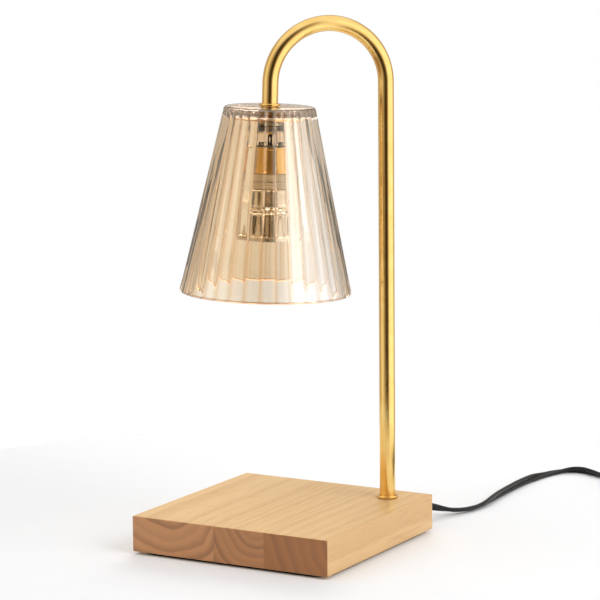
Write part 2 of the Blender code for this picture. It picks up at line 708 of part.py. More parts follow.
def make_shade(hang):
    """The pressed glass shade: a turned wall whose outside is drawn in between its ribs."""
    profile = shade_profile()
    shade = turned(
        "shade_glass", [(radius, height) for radius, height, share in profile], "amber_glass", hang,
        steps=RIB_COUNT * RIB_POINTS,
    )
    shade = as_mesh(shade)
    for vertex in shade.data.vertices:
        x, y, height = vertex.co
        radius = math.hypot(x, y)
        nearest = min(profile, key=lambda point: math.hypot(point[0] - radius, point[1] - height))
        phase = math.atan2(y, x) * RIB_COUNT / (2 * math.pi) % 1.0
        hollow = 1 - math.sin(math.pi * phase)
        pulled = radius - nearest[2] * RIB_HEIGHT * hollow
        vertex.co = (x * pulled / radius, y * pulled / radius, height)
    shade.location = (SHADE_X, SHADE_Y, SHADE_FOOT)

    gasket_rim = SHADE_HOLE + GASKET_WIDTH
    gasket_foot = GASKET_TOP - GASKET_THICKNESS
    gasket = turned("shade_gasket", [
        (SHADE_HOLE, GASKET_TOP), (gasket_rim, GASKET_TOP), (gasket_rim, gasket_foot),
        (SHADE_HOLE, gasket_foot),
    ], "clear_silicone", hang)
    ceiling = SHADE_HEIGHT - SHADE_ROOF
    flat = shade_radius(ceiling - SHADE_INNER_ROUND) - SHADE_WALL - SHADE_INNER_ROUND
    plate_rim = flat - PLATE_MARGIN
    plate_foot = PLATE_TOP - PLATE_THICKNESS
    clamp = turned("shade_plate", [
        (TUBE_BORE, PLATE_TOP), (plate_rim, PLATE_TOP), (plate_rim, plate_foot), (TUBE_BORE, plate_foot),
    ], "brass", hang, steps=32)
    gasket.location = clamp.location = (SHADE_X, SHADE_Y, 0.0)
    hex_nut("shade_nut", SHADE_X, SHADE_Y, SHADE_NUT_TOP, NUT_HEIGHT, "zinc_steel", hang)


def make_bracket(hang, axis):
    """A bent strap that hangs the ceramic holder under the tube's end, with its nut and screws."""
    middle = (0.0, 0.0, (BRACKET_TOP + BRACKET_FOOT) / 2)
    bracket = box("holder_bracket", (2 * BRACKET_HALF, BRACKET_DEPTH, BRACKET_HEIGHT), middle, "chrome", axis)
    inner_half = BRACKET_HALF - BRACKET_SHEET
    window_size = (2 * inner_half, BRACKET_DEPTH + 2 * CUT_OVERRUN, BRACKET_HEIGHT - 2 * BRACKET_SHEET)
    window = box("bracket_window", window_size, middle, None, axis)
    tube_hole = bar(
        "bracket_tube_hole", TUBE_BORE, BRACKET_TOP - 2 * BRACKET_SHEET, BRACKET_TOP + CUT_OVERRUN, None, axis
    )
    wire_hole = bar(
        "bracket_wire_hole", HOLDER_BORE, BRACKET_FOOT - CUT_OVERRUN, BRACKET_FOOT + 2 * BRACKET_SHEET,
        None, axis,
    )
    cut(bracket, window, tube_hole, wire_hole)
    hex_nut("bracket_nut", SHADE_X, SHADE_Y, BRACKET_NUT_TOP, NUT_HEIGHT, "zinc_steel", hang)
    return bracket


def make_holder(axis, bracket):
    """The ceramic lamp holder, screwed to the bracket, with its brass sleeve and its contacts."""
    holder = turned("ceramic_holder", [
        (HOLDER_BORE, HOLDER_TOP), (HOLDER_RADIUS, HOLDER_TOP), (HOLDER_RADIUS, FLANGE_TOP),
        (FLANGE_RADIUS, FLANGE_TOP), (FLANGE_RADIUS, FLANGE_FOOT), (0.0, FLANGE_FOOT),
        (0.0, CHAMBER_FOOT), (CHAMBER_RADIUS, CHAMBER_FOOT), (CHAMBER_RADIUS, CHAMBER_TOP),
        (HOLDER_BORE, CHAMBER_TOP),
    ], "ceramic", axis)
    narrow = PIN_RADIUS + FIT_GAP
    wide = PIN_HEAD_RADIUS + FIT_GAP
    floor_low, floor_high = FLANGE_FOOT - CUT_OVERRUN, CHAMBER_FOOT + FIT_GAP
    contact_profile = [
        (CONTACT_START, CONTACT_FOOT), (PIN_CIRCLE + PIN_HEAD_RADIUS, CONTACT_FOOT),
        (PIN_CIRCLE + PIN_HEAD_RADIUS, CHAMBER_TOP - FIT_GAP),
        (PIN_CIRCLE + PIN_HEAD_RADIUS - CONTACT_RISER, CHAMBER_TOP - FIT_GAP),
        (PIN_CIRCLE + PIN_HEAD_RADIUS - CONTACT_RISER, CONTACT_FOOT + CONTACT_SHEET),
        (CONTACT_START, CONTACT_FOOT + CONTACT_SHEET),
    ]
    screw_foot = BRACKET_FOOT + BRACKET_SHEET + FIT_GAP
    for number, side in ((1, 0.0), (2, math.pi)):
        slot_outline = arc_slot(PIN_CIRCLE, narrow, side - BULB_TWIST, side)
        slot = plate(f"pin_slot_{number}", [slot_outline], floor_low, floor_high, None, axis)
        release = side - BULB_TWIST
        door_place = (PIN_CIRCLE * math.cos(release), PIN_CIRCLE * math.sin(release))
        door = bar(f"pin_door_{number}", wide, floor_low, floor_high, None, axis, door_place)
        cut(holder, slot, door)

        contact = plate(
            f"contact_{number}", [contact_profile], -CONTACT_WIDTH / 2, CONTACT_WIDTH / 2, "brass", axis
        )
        contact.rotation_euler = (math.pi / 2, 0.0, side)

        screw_x = HOLDER_SCREW_PLACE * math.cos(side)
        head_top = screw_foot + HOLDER_SCREW_HEAD_HEIGHT
        tip = screw_foot - HOLDER_SCREW_LENGTH
        screw = turned(f"holder_screw_{number}", [
            (0.0, head_top), (HOLDER_SCREW_HEAD / 2, head_top), (HOLDER_SCREW_HEAD, screw_foot),
            (HOLDER_SCREW_RADIUS, screw_foot), (HOLDER_SCREW_RADIUS, tip), (0.0, tip),
        ], "zinc_steel", axis, steps=16, ring=False)
        screw.location.x = screw_x
        screw_hole = bar(
            f"holder_screw_hole_{number}", HOLDER_SCREW_RADIUS + FIT_GAP, tip - FIT_GAP,
            screw_foot + CUT_OVERRUN, None, axis, (screw_x, 0.0), sides=16,
        )
        cut(holder, screw_hole)
        cut(bracket, screw_hole)

    sleeve_foot = FLANGE_TOP + FIT_GAP
    inner = HOLDER_RADIUS + SLEEVE_GAP
    turned("holder_sleeve", [
        (inner, HOLDER_TOP), (SLEEVE_RADIUS, HOLDER_TOP), (SLEEVE_RADIUS, sleeve_foot), (inner, sleeve_foot),
    ], "brass", axis)


def make_bulb(axis):
    """The twist-lock spot bulb: a ceramic base with two headed pins, reflector, capsule and lens."""
    base = bar("bulb_base", BULB_BASE_RADIUS, BULB_BASE_FOOT, BULB_TOP, "ceramic", axis, sides=32)
    pin_foot = BULB_TOP - PIN_SEAT
    for number, side in ((1, 1), (2, -1)):
        pin = turned(f"bulb_pin_{number}", [
            (0.0, PIN_TOP), (PIN_HEAD_RADIUS, PIN_TOP), (PIN_HEAD_RADIUS, PIN_HEAD_FOOT),
            (PIN_RADIUS, PIN_HEAD_FOOT), (PIN_RADIUS, pin_foot), (0.0, pin_foot),
        ], "chrome", axis, steps=16, ring=False)
        pin.location.x = side * PIN_CIRCLE
        hole = bar(
            f"pin_hole_{number}", PIN_RADIUS + FIT_GAP, pin_foot - FIT_GAP, BULB_TOP + CUT_OVERRUN, None, axis,
            (side * PIN_CIRCLE, 0.0), sides=16,
        )
        cut(base, hole)
    stem_hole = STEM_RADIUS + FIT_GAP
    stem_top = BULB_BASE_FOOT + STEM_SEAT
    socket = bar("stem_socket", stem_hole, BULB_BASE_FOOT - CUT_OVERRUN, stem_top + FIT_GAP, None, axis)
    cut(base, socket)

    rim_top = REFLECTOR_FOOT + BULB_RIM_HEIGHT
    neck_foot = REFLECTOR_TOP - BULB_NECK_LENGTH
    flare_radius = BULB_RIM_RADIUS - BULB_RIM_LIP
    flare = []
    for step in range(FLARE_STEPS + 1):
        share = step / FLARE_STEPS
        radius = BULB_NECK_RADIUS + (flare_radius - BULB_NECK_RADIUS) * share ** FLARE_POWER
        flare.append((radius, neck_foot + (rim_top - neck_foot) * share))
    seat_top = REFLECTOR_FOOT + LENS_THICKNESS + 2 * FIT_GAP
    seat_radius = BULB_RIM_RADIUS - REFLECTOR_WALL
    inside = [(radius - REFLECTOR_WALL, height) for radius, height in reversed(flare[:-1])]
    turned("bulb_reflector", [
        (stem_hole, REFLECTOR_TOP), (BULB_NECK_RADIUS, REFLECTOR_TOP), *flare, (BULB_RIM_RADIUS, rim_top),
        (BULB_RIM_RADIUS, REFLECTOR_FOOT), (seat_radius, REFLECTOR_FOOT), (seat_radius, seat_top),
        (flare_radius - REFLECTOR_WALL, seat_top), *inside,
        (BULB_NECK_RADIUS - REFLECTOR_WALL, REFLECTOR_TOP - REFLECTOR_WALL),
        (stem_hole, REFLECTOR_TOP - REFLECTOR_WALL),
    ], "mirror_coat", axis)
    lens_foot = REFLECTOR_FOOT + FIT_GAP
    bar(
        "bulb_lens", seat_radius - FIT_GAP, lens_foot, lens_foot + LENS_THICKNESS, "clear_glass", axis, sides=32
    )
    bulge_top = REFLECTOR_TOP - REFLECTOR_WALL - CAPSULE_DROP
    soft = CAPSULE_RADIUS - STEM_RADIUS
    tip = bulge_top - CAPSULE_LENGTH
    turned("bulb_capsule", [
        (0.0, stem_top), (STEM_RADIUS, stem_top), (STEM_RADIUS, bulge_top), (CAPSULE_RADIUS, bulge_top - soft),
        (CAPSULE_RADIUS, tip + soft), (STEM_RADIUS, tip), (0.0, tip),
    ], "clear_glass", axis, steps=16, ring=False)


def make_wires():
    """Two insulated wires from the cord's end, up the stem and down to the holder's contacts."""
    local_x = Vector((math.cos(HOLDER_TURN), math.sin(HOLDER_TURN), 0.0))
    stem = stem_line()
    shade = Vector((SHADE_X, SHADE_Y, 0.0))
    bend = TUBE_RADIUS - TUBE_WALL
    window_middle = (BRACKET_FOOT + TUBE_END) / 2
    wire_end = CONTACT_FOOT + CONTACT_SHEET + FIT_GAP
    for name, side in (("wire_live", 1), ("wire_neutral", -1)):
        first_x = POST_PLACE + side * WIRE_OFFSET
        offset = SIDEWAYS * side * WIRE_OFFSET
        end_offset = local_x * side * WIRE_OFFSET
        route = [
            (first_x, CORD_START - FIT_GAP, CORD_EXIT_HEIGHT),
            (first_x, POST_PLACE + bend, TUBE_FOOT - bend),
            Vector((POST_PLACE, POST_PLACE, TUBE_FOOT + bend)) + offset,
        ]
        route += [place + offset for place in stem[1:-1]]
        short_end = [
            shade + offset + Vector((0.0, 0.0, (TUBE_END + ARCH_LEVEL) / 2)),
            shade + offset + Vector((0.0, 0.0, TUBE_END + WIRE_RADIUS)),
            shade + local_x * side * WIRE_BULGE + Vector((0.0, 0.0, window_middle)),
            shade + end_offset + Vector((0.0, 0.0, BRACKET_FOOT)),
            shade + end_offset + Vector((0.0, 0.0, (BRACKET_FOOT + wire_end) / 2)),
            shade + end_offset + Vector((0.0, 0.0, wire_end)),
        ]
        route += [LEAN @ place for place in short_end]
        points, length = smooth_route(route, WIRE_STEP)
        rod(name, points, WIRE_RADIUS, "black_plastic", resolution=1)
        print(f"{name} is {length:.3f} m long")


def make_relief():
    """The tapered rubber strain relief where the cord leaves the back of the base."""
    bore = CORD_RADIUS + FIT_GAP
    wall = BASE_SIDE / 2 - POCKET_FAR
    back = wall + FIT_GAP
    profile = [(bore, back + RELIEF_LENGTH), (RELIEF_TIP_RADIUS, back + RELIEF_LENGTH)]
    pitch = RELIEF_LENGTH / (RELIEF_GROOVES + 1)
    for groove in range(RELIEF_GROOVES, 0, -1):
        level = back + groove * pitch
        share = groove * pitch / RELIEF_LENGTH
        radius = RELIEF_BACK_RADIUS + (RELIEF_TIP_RADIUS - RELIEF_BACK_RADIUS) * share
        for step, depth in ((0.2, 0.0), (0.1, 1.0), (-0.1, 1.0), (-0.2, 0.0)):
            profile.append((radius - depth * RELIEF_GROOVE_DEPTH, level + step * pitch))
    profile += [
        (RELIEF_BACK_RADIUS, back), (RELIEF_NECK_RADIUS, back), (RELIEF_NECK_RADIUS, -FIT_GAP),
        (RELIEF_FLANGE_RADIUS, -FIT_GAP), (RELIEF_FLANGE_RADIUS, -FIT_GAP - RELIEF_FLANGE),
        (bore, -FIT_GAP - RELIEF_FLANGE),
    ]
    relief = turned("cord_relief", profile, "black_rubber", steps=16)
    relief.rotation_euler = (-math.pi / 2, 0.0, 0.0)
    relief.location = (POST_PLACE, POCKET_FAR, CORD_EXIT_HEIGHT)


def dimmer_point(along, across, height):
    """A place on the dimmer, from its middle, in the lamp's own axes."""
    x = DIMMER_PLACE[0] + along * math.cos(DIMMER_TURN) - across * math.sin(DIMMER_TURN)
    y = DIMMER_PLACE[1] + along * math.sin(DIMMER_TURN) + across * math.cos(DIMMER_TURN)
    return (x, y, height)


def coil_point(turn):
    """The cord's middle line after so many turns of the coil."""
    climbing = turn - SPIRAL_TURNS
    if climbing < 0:
        radius, climb = COIL_OUTER - COIL_PITCH * turn, 0.0
    elif climbing < COIL_CLIMB:
        radius, climb = COIL_INNER, climbing / COIL_CLIMB
    else:
        radius, climb = COIL_INNER + COIL_PITCH * (climbing - COIL_CLIMB), 1.0
    angle = COIL_START - 2 * math.pi * turn
    height = COIL_FLOOR + COIL_LAYER * (1 - math.cos(math.pi * climb)) / 2
    return Vector((COIL_PLACE[0] + radius * math.cos(angle), COIL_PLACE[1] + radius * math.sin(angle), height))


def coil_line():
    """Every point of the coil, with a straight diameter of cord at each end."""
    count = round(COIL_TURNS * COIL_TURN_POINTS)
    line = [coil_point(COIL_TURNS * step / count) for step in range(count + 1)]
    straight = 2 * CORD_RADIUS
    start_way = Vector((-math.sin(COIL_START), math.cos(COIL_START), 0.0))
    end_angle = COIL_START - 2 * math.pi * COIL_TURNS
    end_way = Vector((math.sin(end_angle), -math.cos(end_angle), 0.0))
    return [line[0] + start_way * straight] + line + [line[-1] + end_way * straight]


def measure_line(line):
    """The line's length, and its least gap to itself half a turn or more away."""
    length = sum((b - a).length for a, b in zip(line, line[1:]))
    far = COIL_TURN_POINTS // 2
    least = min(
        (line[i] - line[j]).length for i in range(len(line)) for j in range(i + far, len(line))
    )
    return length, least - 2 * CORD_RADIUS


def make_cord():
    """The cord's free stretches and the coil of its spare length, which a tie holds."""
    relief_tip = BASE_SIDE / 2 + RELIEF_LENGTH
    half = DIMMER_LENGTH / 2
    seat = half - DIMMER_WALL - CORD_SEAT
    lead = [
        (POST_PLACE, CORD_START, CORD_EXIT_HEIGHT), (POST_PLACE, BASE_SIDE / 2, CORD_EXIT_HEIGHT),
        (POST_PLACE, relief_tip, CORD_EXIT_HEIGHT), *LEAD_ROUTE, dimmer_point(-seat, 0.0, DIMMER_MIDDLE),
    ]
    line = coil_line()
    start_way = (line[0] - line[1]).normalized()
    end_way = (line[-1] - line[-2]).normalized()
    link = [
        dimmer_point(seat, 0.0, DIMMER_MIDDLE), dimmer_point(half, 0.0, DIMMER_MIDDLE), *LINK_ROUTE,
        line[0] + start_way * (FIT_GAP + CORD_RADIUS), line[0] + start_way * FIT_GAP,
    ]
    plug_back = (PLUG_PLACE[0], PLUG_PLACE[1] + FIT_GAP, PLUG_THICKNESS / 2)
    tail = [
        line[-1] + end_way * FIT_GAP, line[-1] + end_way * (FIT_GAP + CORD_RADIUS), *TAIL_ROUTE, plug_back,
    ]
    total = 0.0
    for name, route in (("cord_lead", lead), ("cord_link", link), ("cord_tail", tail)):
        points, length = smooth_route(route, CORD_STEP)
        rod(name, points, CORD_RADIUS, "black_rubber")
        total += length
        print(f"{name} is {length:.3f} m long")
    length, gap = measure_line(line)
    rod("cord_coil", line, CORD_RADIUS, "black_rubber", resolution=1)
    print(f"cord_coil is {length:.3f} m long, and its least gap to itself is {1000 * gap:.2f} mm")
    print(f"the whole cord is {total + length:.3f} m long")

    inner = COIL_INNER - CORD_RADIUS - TIE_ROOM
    outer = COIL_OUTER + CORD_RADIUS + TIE_ROOM
    top = COIL_FLOOR + COIL_LAYER + CORD_RADIUS + FIT_GAP
    loop_width, loop_height = outer - inner, top - TIE_SHEET
    middle_r, middle_z = (inner + outer) / 2, (top + TIE_SHEET) / 2
    sheet = 2 * TIE_SHEET
    tie = plate("cord_tie", [
        rounded_rectangle(loop_width + sheet, loop_height + sheet, 2 * TIE_SHEET, middle_r, middle_z),
        rounded_rectangle(loop_width, loop_height, TIE_SHEET, middle_r, middle_z),
    ], -TIE_WIDTH / 2, TIE_WIDTH / 2, "black_rubber")
    tie.rotation_euler = (math.pi / 2, 0.0, TIE_TURN)
    tie.location = (*COIL_PLACE, 0.0)


def make_dimmer_case(frame, wheel_y, wheel_top):
    """Both halves of the dimmer's case and the two screws that hold them together."""
    middle = (0.0, 0.0, DIMMER_MIDDLE)
    inner_height = DIMMER_HEIGHT - 2 * DIMMER_WALL
    inner_size = (DIMMER_LENGTH - 2 * DIMMER_WALL, DIMMER_WIDTH - 2 * DIMMER_WALL, inner_height)
    hollow = box("case_hollow", inner_size, middle, None, frame)
    slot_size = (2 * WHEEL_RADIUS, 2 * (WHEEL_PROUD + DIMMER_WALL), WHEEL_THICKNESS + 2 * WHEEL_ROOM)
    slot = box("case_slot", slot_size, (0.0, DIMMER_WIDTH / 2, DIMMER_MIDDLE), None, frame)
    mouth_reach = DIMMER_LENGTH / 2 + CUT_OVERRUN
    mouth = bar("case_mouth", CORD_RADIUS + FIT_GAP, -mouth_reach, mouth_reach, None, frame)
    mouth.rotation_euler = (0.0, math.pi / 2, 0.0)
    mouth.location.z = DIMMER_MIDDLE

    post_low, post_high = DIMMER_WALL / 2, DIMMER_HEIGHT - DIMMER_WALL / 2
    shelf_top = DIMMER_WALL + BOARD_LIFT
    shelf_size = (BOARD_LENGTH - 2 * BOARD_LIFT, BOARD_WIDTH - 2 * BOARD_LIFT, shelf_top - post_low)
    shelf = box("board_shelf", shelf_size, (0.0, 0.0, (shelf_top + post_low) / 2), None, frame)
    axle_top = wheel_top + FIT_GAP + AXLE_SEAT
    bore = AXLE_RADIUS + FIT_GAP
    place = (0.0, wheel_y)
    boss = bar("wheel_boss", bore + BOSS_WALL, wheel_top + FIT_GAP, post_high, None, frame, place, sides=16)
    boss_bore = bar("boss_bore", bore, wheel_top, axle_top + FIT_GAP, None, frame, place, sides=16)

    screw_x = DIMMER_LENGTH / 2 - DIMMER_SCREW_INSET
    screw_y = DIMMER_WALL + DIMMER_SCREW_HEAD - DIMMER_WIDTH / 2
    sink_radius = DIMMER_SCREW_HEAD + FIT_GAP
    head_top = DIMMER_SCREW_HEAD_HEIGHT + FIT_GAP
    tip = head_top + DIMMER_SCREW_LENGTH
    posts, holes, sinks = [], [], []
    for number, side in ((1, 1), (2, -1)):
        place = (side * screw_x, screw_y)
        posts.append(bar(
            f"case_post_{number}", sink_radius + BOSS_WALL / 2, post_low, post_high, None, frame, place, sides=16
        ))
        holes.append(bar(
            f"case_hole_{number}", DIMMER_SCREW_RADIUS + FIT_GAP, -CUT_OVERRUN, tip + FIT_GAP, None, frame,
            place, sides=16,
        ))
        sinks.append(bar(
            f"case_sink_{number}", sink_radius, -CUT_OVERRUN, head_top + FIT_GAP, None, frame, place, sides=16
        ))
        screw = turned(f"dimmer_screw_{number}", [
            (0.0, tip), (DIMMER_SCREW_RADIUS, tip), (DIMMER_SCREW_RADIUS, head_top),
            (DIMMER_SCREW_HEAD, head_top), (DIMMER_SCREW_HEAD, FIT_GAP), (0.0, FIT_GAP),
        ], "zinc_steel", frame, steps=16, ring=False)
        screw.location = (*place, 0.0)

    half_gap = (DIMMER_HEIGHT + FIT_GAP) / 2
    for name, side, added, taken in (
        ("dimmer_bottom", 1, (*posts, shelf), (*holes, *sinks)),
        ("dimmer_top", -1, (*posts, boss), (*holes, boss_bore)),
    ):
        half = box(name, (DIMMER_LENGTH, DIMMER_WIDTH, DIMMER_HEIGHT), middle, "black_plastic", frame)
        soften(half, DIMMER_EDGE)
        cut(half, hollow)
        join(half, *added)
        trim_size = (2 * DIMMER_LENGTH, 2 * DIMMER_WIDTH, DIMMER_HEIGHT)
        trim_level = DIMMER_MIDDLE + side * (half_gap - FIT_GAP)
        trim = box(name + "_trim", trim_size, (0.0, 0.0, trim_level), None, frame)
        cut(half, slot, mouth, trim, *taken)


def make_dimmer():
    """The inline dimmer: its case, a small board, and a thumb wheel with a notched edge."""
    frame = stand("dimmer_stand", (*DIMMER_PLACE, 0.0), DIMMER_TURN)
    wheel_y = DIMMER_WIDTH / 2 + WHEEL_PROUD - WHEEL_RADIUS
    wheel_low = DIMMER_MIDDLE - WHEEL_THICKNESS / 2
    wheel_top = DIMMER_MIDDLE + WHEEL_THICKNESS / 2
    make_dimmer_case(frame, wheel_y, wheel_top)

    board_foot = DIMMER_WALL + BOARD_LIFT + FIT_GAP
    board_middle = (0.0, 0.0, board_foot + BOARD_THICKNESS / 2)
    box("dimmer_board", (BOARD_LENGTH, BOARD_WIDTH, BOARD_THICKNESS), board_middle, "green_board", frame)
    pot_foot = board_foot + BOARD_THICKNESS + FIT_GAP
    pot = turned("dimmer_pot", [
        (AXLE_RADIUS + FIT_GAP, wheel_low - FIT_GAP), (POT_RADIUS, wheel_low - FIT_GAP),
        (POT_RADIUS, pot_foot), (AXLE_RADIUS + FIT_GAP, pot_foot),
    ], "black_plastic", frame, steps=16)
    pot.location.y = wheel_y

    axle_top = wheel_top + FIT_GAP + AXLE_SEAT
    wheel = as_mesh(turned("dimmer_wheel", [
        (0.0, axle_top), (AXLE_RADIUS, axle_top), (AXLE_RADIUS, wheel_top), (WHEEL_RADIUS, wheel_top),
        (WHEEL_RADIUS, wheel_low), (AXLE_RADIUS, wheel_low), (AXLE_RADIUS, pot_foot), (0.0, pot_foot),
    ], "black_plastic", frame, steps=2 * WHEEL_NOTCHES, ring=False))
    for vertex in wheel.data.vertices:
        x, y, height = vertex.co
        if math.hypot(x, y) > (AXLE_RADIUS + WHEEL_RADIUS) / 2:
            step = round(math.atan2(y, x) * WHEEL_NOTCHES / math.pi)
            keep = 1 - (step % 2) * WHEEL_NOTCH_DEPTH / WHEEL_RADIUS
            vertex.co = (x * keep, y * keep, height)
    wheel.location.y = wheel_y


def make_plug():
    """The moulded plug, lying flat, with two punched blades."""
    frame = stand("plug_stand", (*PLUG_PLACE, PLUG_THICKNESS / 2), 0.0)
    body_back = -PLUG_NOSE
    body = box(
        "plug_body", (PLUG_WIDTH, PLUG_BODY, PLUG_THICKNESS), (0.0, body_back - PLUG_BODY / 2, 0.0),
        "black_rubber", frame,
    )
    soften(body, PLUG_EDGE, segments=3)
    nose = bar(
        "plug_nose", PLUG_BODY_RADIUS, -PLUG_BODY / 2, PLUG_NOSE, None, frame, high_radius=PLUG_NOSE_RADIUS
    )
    nose.rotation_euler = (-math.pi / 2, 0.0, 0.0)
    nose.location.y = body_back
    join(body, nose)
    face = body_back - PLUG_BODY
    for number, side in ((1, 1), (2, -1)):
        x = side * BLADE_SPACING / 2
        length = BLADE_LENGTH + PLUG_SEAT
        middle_y = face - BLADE_LENGTH + length / 2
        blade = box(
            f"plug_blade_{number}", (BLADE_SHEET, length, BLADE_WIDTH), (x, middle_y, 0.0), "chrome", frame
        )
        eye = bar(f"blade_eye_{number}", BLADE_HOLE, -BLADE_SHEET, BLADE_SHEET, None, frame, sides=16)
        eye.rotation_euler = (0.0, math.pi / 2, 0.0)
        eye.location = (x, face - BLADE_LENGTH + 2 * BLADE_HOLE, 0.0)
        cut(blade, eye)
        pocket_size = (BLADE_SHEET + 2 * FIT_GAP, 2 * PLUG_SEAT, BLADE_WIDTH + 2 * FIT_GAP)
        pocket = box(f"blade_pocket_{number}", pocket_size, (x, face + FIT_GAP, 0.0), None, frame)
        cut(body, pocket)


def build_lamp():
    """Every piece, from the table up and then along the cord."""
    hang = stand("short_end", (0.0, 0.0, 0.0))
    hang.matrix_world = LEAN
    axis = stand("shade_axis", (SHADE_X, SHADE_Y, 0.0), HOLDER_TURN, hang)
    make_base()
    make_stem(hang)
    make_shade(hang)
    bracket = make_bracket(hang, axis)
    make_holder(axis, bracket)
    make_bulb(axis)
    make_wires()
    make_relief()
    make_cord()
    make_dimmer()
    make_plug()


clear_scene()
PARTS = new_collection("candle_warmer_lamp")
CUTTERS = new_collection("cutters")
build_lamp()
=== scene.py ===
# %% [markdown]
# # A candle warmer lamp, dressed for its portrait
# The lamp shines straight down and warms what stands on its block. A bent brass tube rises in the
# corner of a laminated wood block, arches over it and holds a ribbed glass shade with a spot bulb
# inside. The solids of the lamp come first, as a fixed frame, and all else is made around them in metres.
# %% Load the frame
import math

import bmesh
import bpy
from mathutils import Matrix, Vector


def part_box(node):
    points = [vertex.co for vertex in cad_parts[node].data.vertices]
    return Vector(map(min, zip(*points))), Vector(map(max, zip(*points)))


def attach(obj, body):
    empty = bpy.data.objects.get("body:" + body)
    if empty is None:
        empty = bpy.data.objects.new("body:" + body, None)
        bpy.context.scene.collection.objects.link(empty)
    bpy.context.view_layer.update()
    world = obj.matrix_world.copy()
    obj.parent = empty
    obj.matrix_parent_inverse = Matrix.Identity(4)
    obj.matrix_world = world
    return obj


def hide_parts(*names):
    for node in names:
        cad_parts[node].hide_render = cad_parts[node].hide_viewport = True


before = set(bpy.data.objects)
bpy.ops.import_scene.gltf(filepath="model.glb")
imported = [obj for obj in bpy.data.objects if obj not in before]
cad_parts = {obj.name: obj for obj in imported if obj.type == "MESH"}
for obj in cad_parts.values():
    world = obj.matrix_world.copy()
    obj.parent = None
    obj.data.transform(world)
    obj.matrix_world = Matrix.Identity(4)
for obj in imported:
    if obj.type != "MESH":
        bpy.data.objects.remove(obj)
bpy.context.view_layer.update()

# %% [markdown]
# ## The camera
# The picture is square and was taken with a long lens, from a little above the table. The place and
# the two angles were worked out from the corners of the block, the tube and the rims of the shade.
# Three unit vectors say where the lens points and which way is up, with a very small roll.
# %% The camera
CAMERA_PLACE = Vector((0.85588, -1.48013, 0.42671))
CAMERA_BEARING = math.radians(29.67)
CAMERA_TILT = math.radians(8.98)
CAMERA_ROLL = math.radians(-0.52)
CAMERA_LENS = 165.14


def aim_camera():
    """A camera that looks at the lamp from the front, a little to its right."""
    level = math.cos(CAMERA_TILT)
    ahead = Vector((
        -math.sin(CAMERA_BEARING) * level, math.cos(CAMERA_BEARING) * level, -math.sin(CAMERA_TILT),
    ))
    side = ahead.cross(Vector((0.0, 0.0, 1.0))).normalized()
    above = side.cross(ahead)
    right = side * math.cos(CAMERA_ROLL) + above * math.sin(CAMERA_ROLL)
    up = above * math.cos(CAMERA_ROLL) - side * math.sin(CAMERA_ROLL)
    lens = bpy.data.cameras.new("portrait_camera")
    lens.lens = CAMERA_LENS
    camera = bpy.data.objects.new("portrait_camera", lens)
    turn = Matrix((right, up, -ahead)).transposed()
    camera.matrix_world = Matrix.Translation(CAMERA_PLACE) @ turn.to_4x4()
    bpy.context.scene.collection.objects.link(camera)
    bpy.context.scene.camera = camera


aim_camera()
bpy.context.scene.view_settings.view_transform = "Standard"
print("the lens is", CAMERA_LENS, "mm long")

# %% [markdown]
# ## Shape helpers
# Nearly every piece here is a skin of four-sided faces over rows of points. A turned piece is a skin
# over rings round an axis, and a cord is a skin over copies of its section. A modifier could turn a
# profile too, but rows of points also let a rib, a notch or a twist follow a formula.
# %% Skins over rows of points
WELD = 0.000001
SHARP_ANGLE = math.radians(38.0)
FINE_EASE, SMALL_EASE, SOFT_EASE = 0.0002, 0.0003, 0.0004
LONGEST_EASE_SHARE = 0.45


def skin(name, rows, ends="open"):
    """A mesh over rows that are closed loops: the ends stay open, get a face each, or join in a ring."""
    shape = bmesh.new()
    loops = [[shape.verts.new(point) for point in row] for row in rows]
    pairs = list(zip(loops, loops[1:]))
    if ends == "ring":
        pairs.append((loops[-1], loops[0]))
    for low, high in pairs:
        for i in range(len(low)):
            j = (i + 1) % len(low)
            shape.faces.new((low[i], low[j], high[j], high[i]))
    if ends == "capped":
        shape.faces.new(list(reversed(loops[0])))
        shape.faces.new(loops[-1])
    bmesh.ops.remove_doubles(shape, verts=shape.verts, dist=WELD)
    bmesh.ops.recalc_face_normals(shape, faces=shape.faces)
    mesh = bpy.data.meshes.new(name)
    shape.to_mesh(mesh)
    shape.free()
    return mesh


def eased(profile, ease, steps=3, closed=True):
    """The same outline with each corner rounded off."""
    points = [Vector(point) for point in profile]
    soft = []
    for i, corner in enumerate(points):
        if not closed and i in (0, len(points) - 1):
            soft.append(corner)
            continue
        before, after = points[i - 1], points[(i + 1) % len(points)]
        leave, arrive = (
            corner.lerp(other, min(LONGEST_EASE_SHARE, ease / max((corner - other).length, WELD)))
            for other in (before, after)
        )
        for step in range(steps + 1):
            t = step / steps
            soft.append(leave * (1 - t) ** 2 + corner * 2 * t * (1 - t) + arrive * t * t)
    return soft


def arc(middle_x, middle_y, radius, start, end, steps):
    """Points along an arc, both ends included."""
    turns = [start + (end - start) * step / steps for step in range(steps + 1)]
    return [(middle_x + radius * math.cos(a), middle_y + radius * math.sin(a)) for a in turns]


def turned(name, profile, steps=64, ring=True, press=None):
    """A turned mesh from (radius, height) points; press may move a point by its angle."""
    rows = []
    for index, (radius, height) in enumerate(profile):
        row = []
        for step in range(steps):
            angle = 2 * math.pi * step / steps
            r, z = (radius, height) if press is None else press(index, radius, height, angle)
            row.append((r * math.cos(angle), r * math.sin(angle), z))
        rows.append(row)
    return skin(name, rows, "ring" if ring else "open")


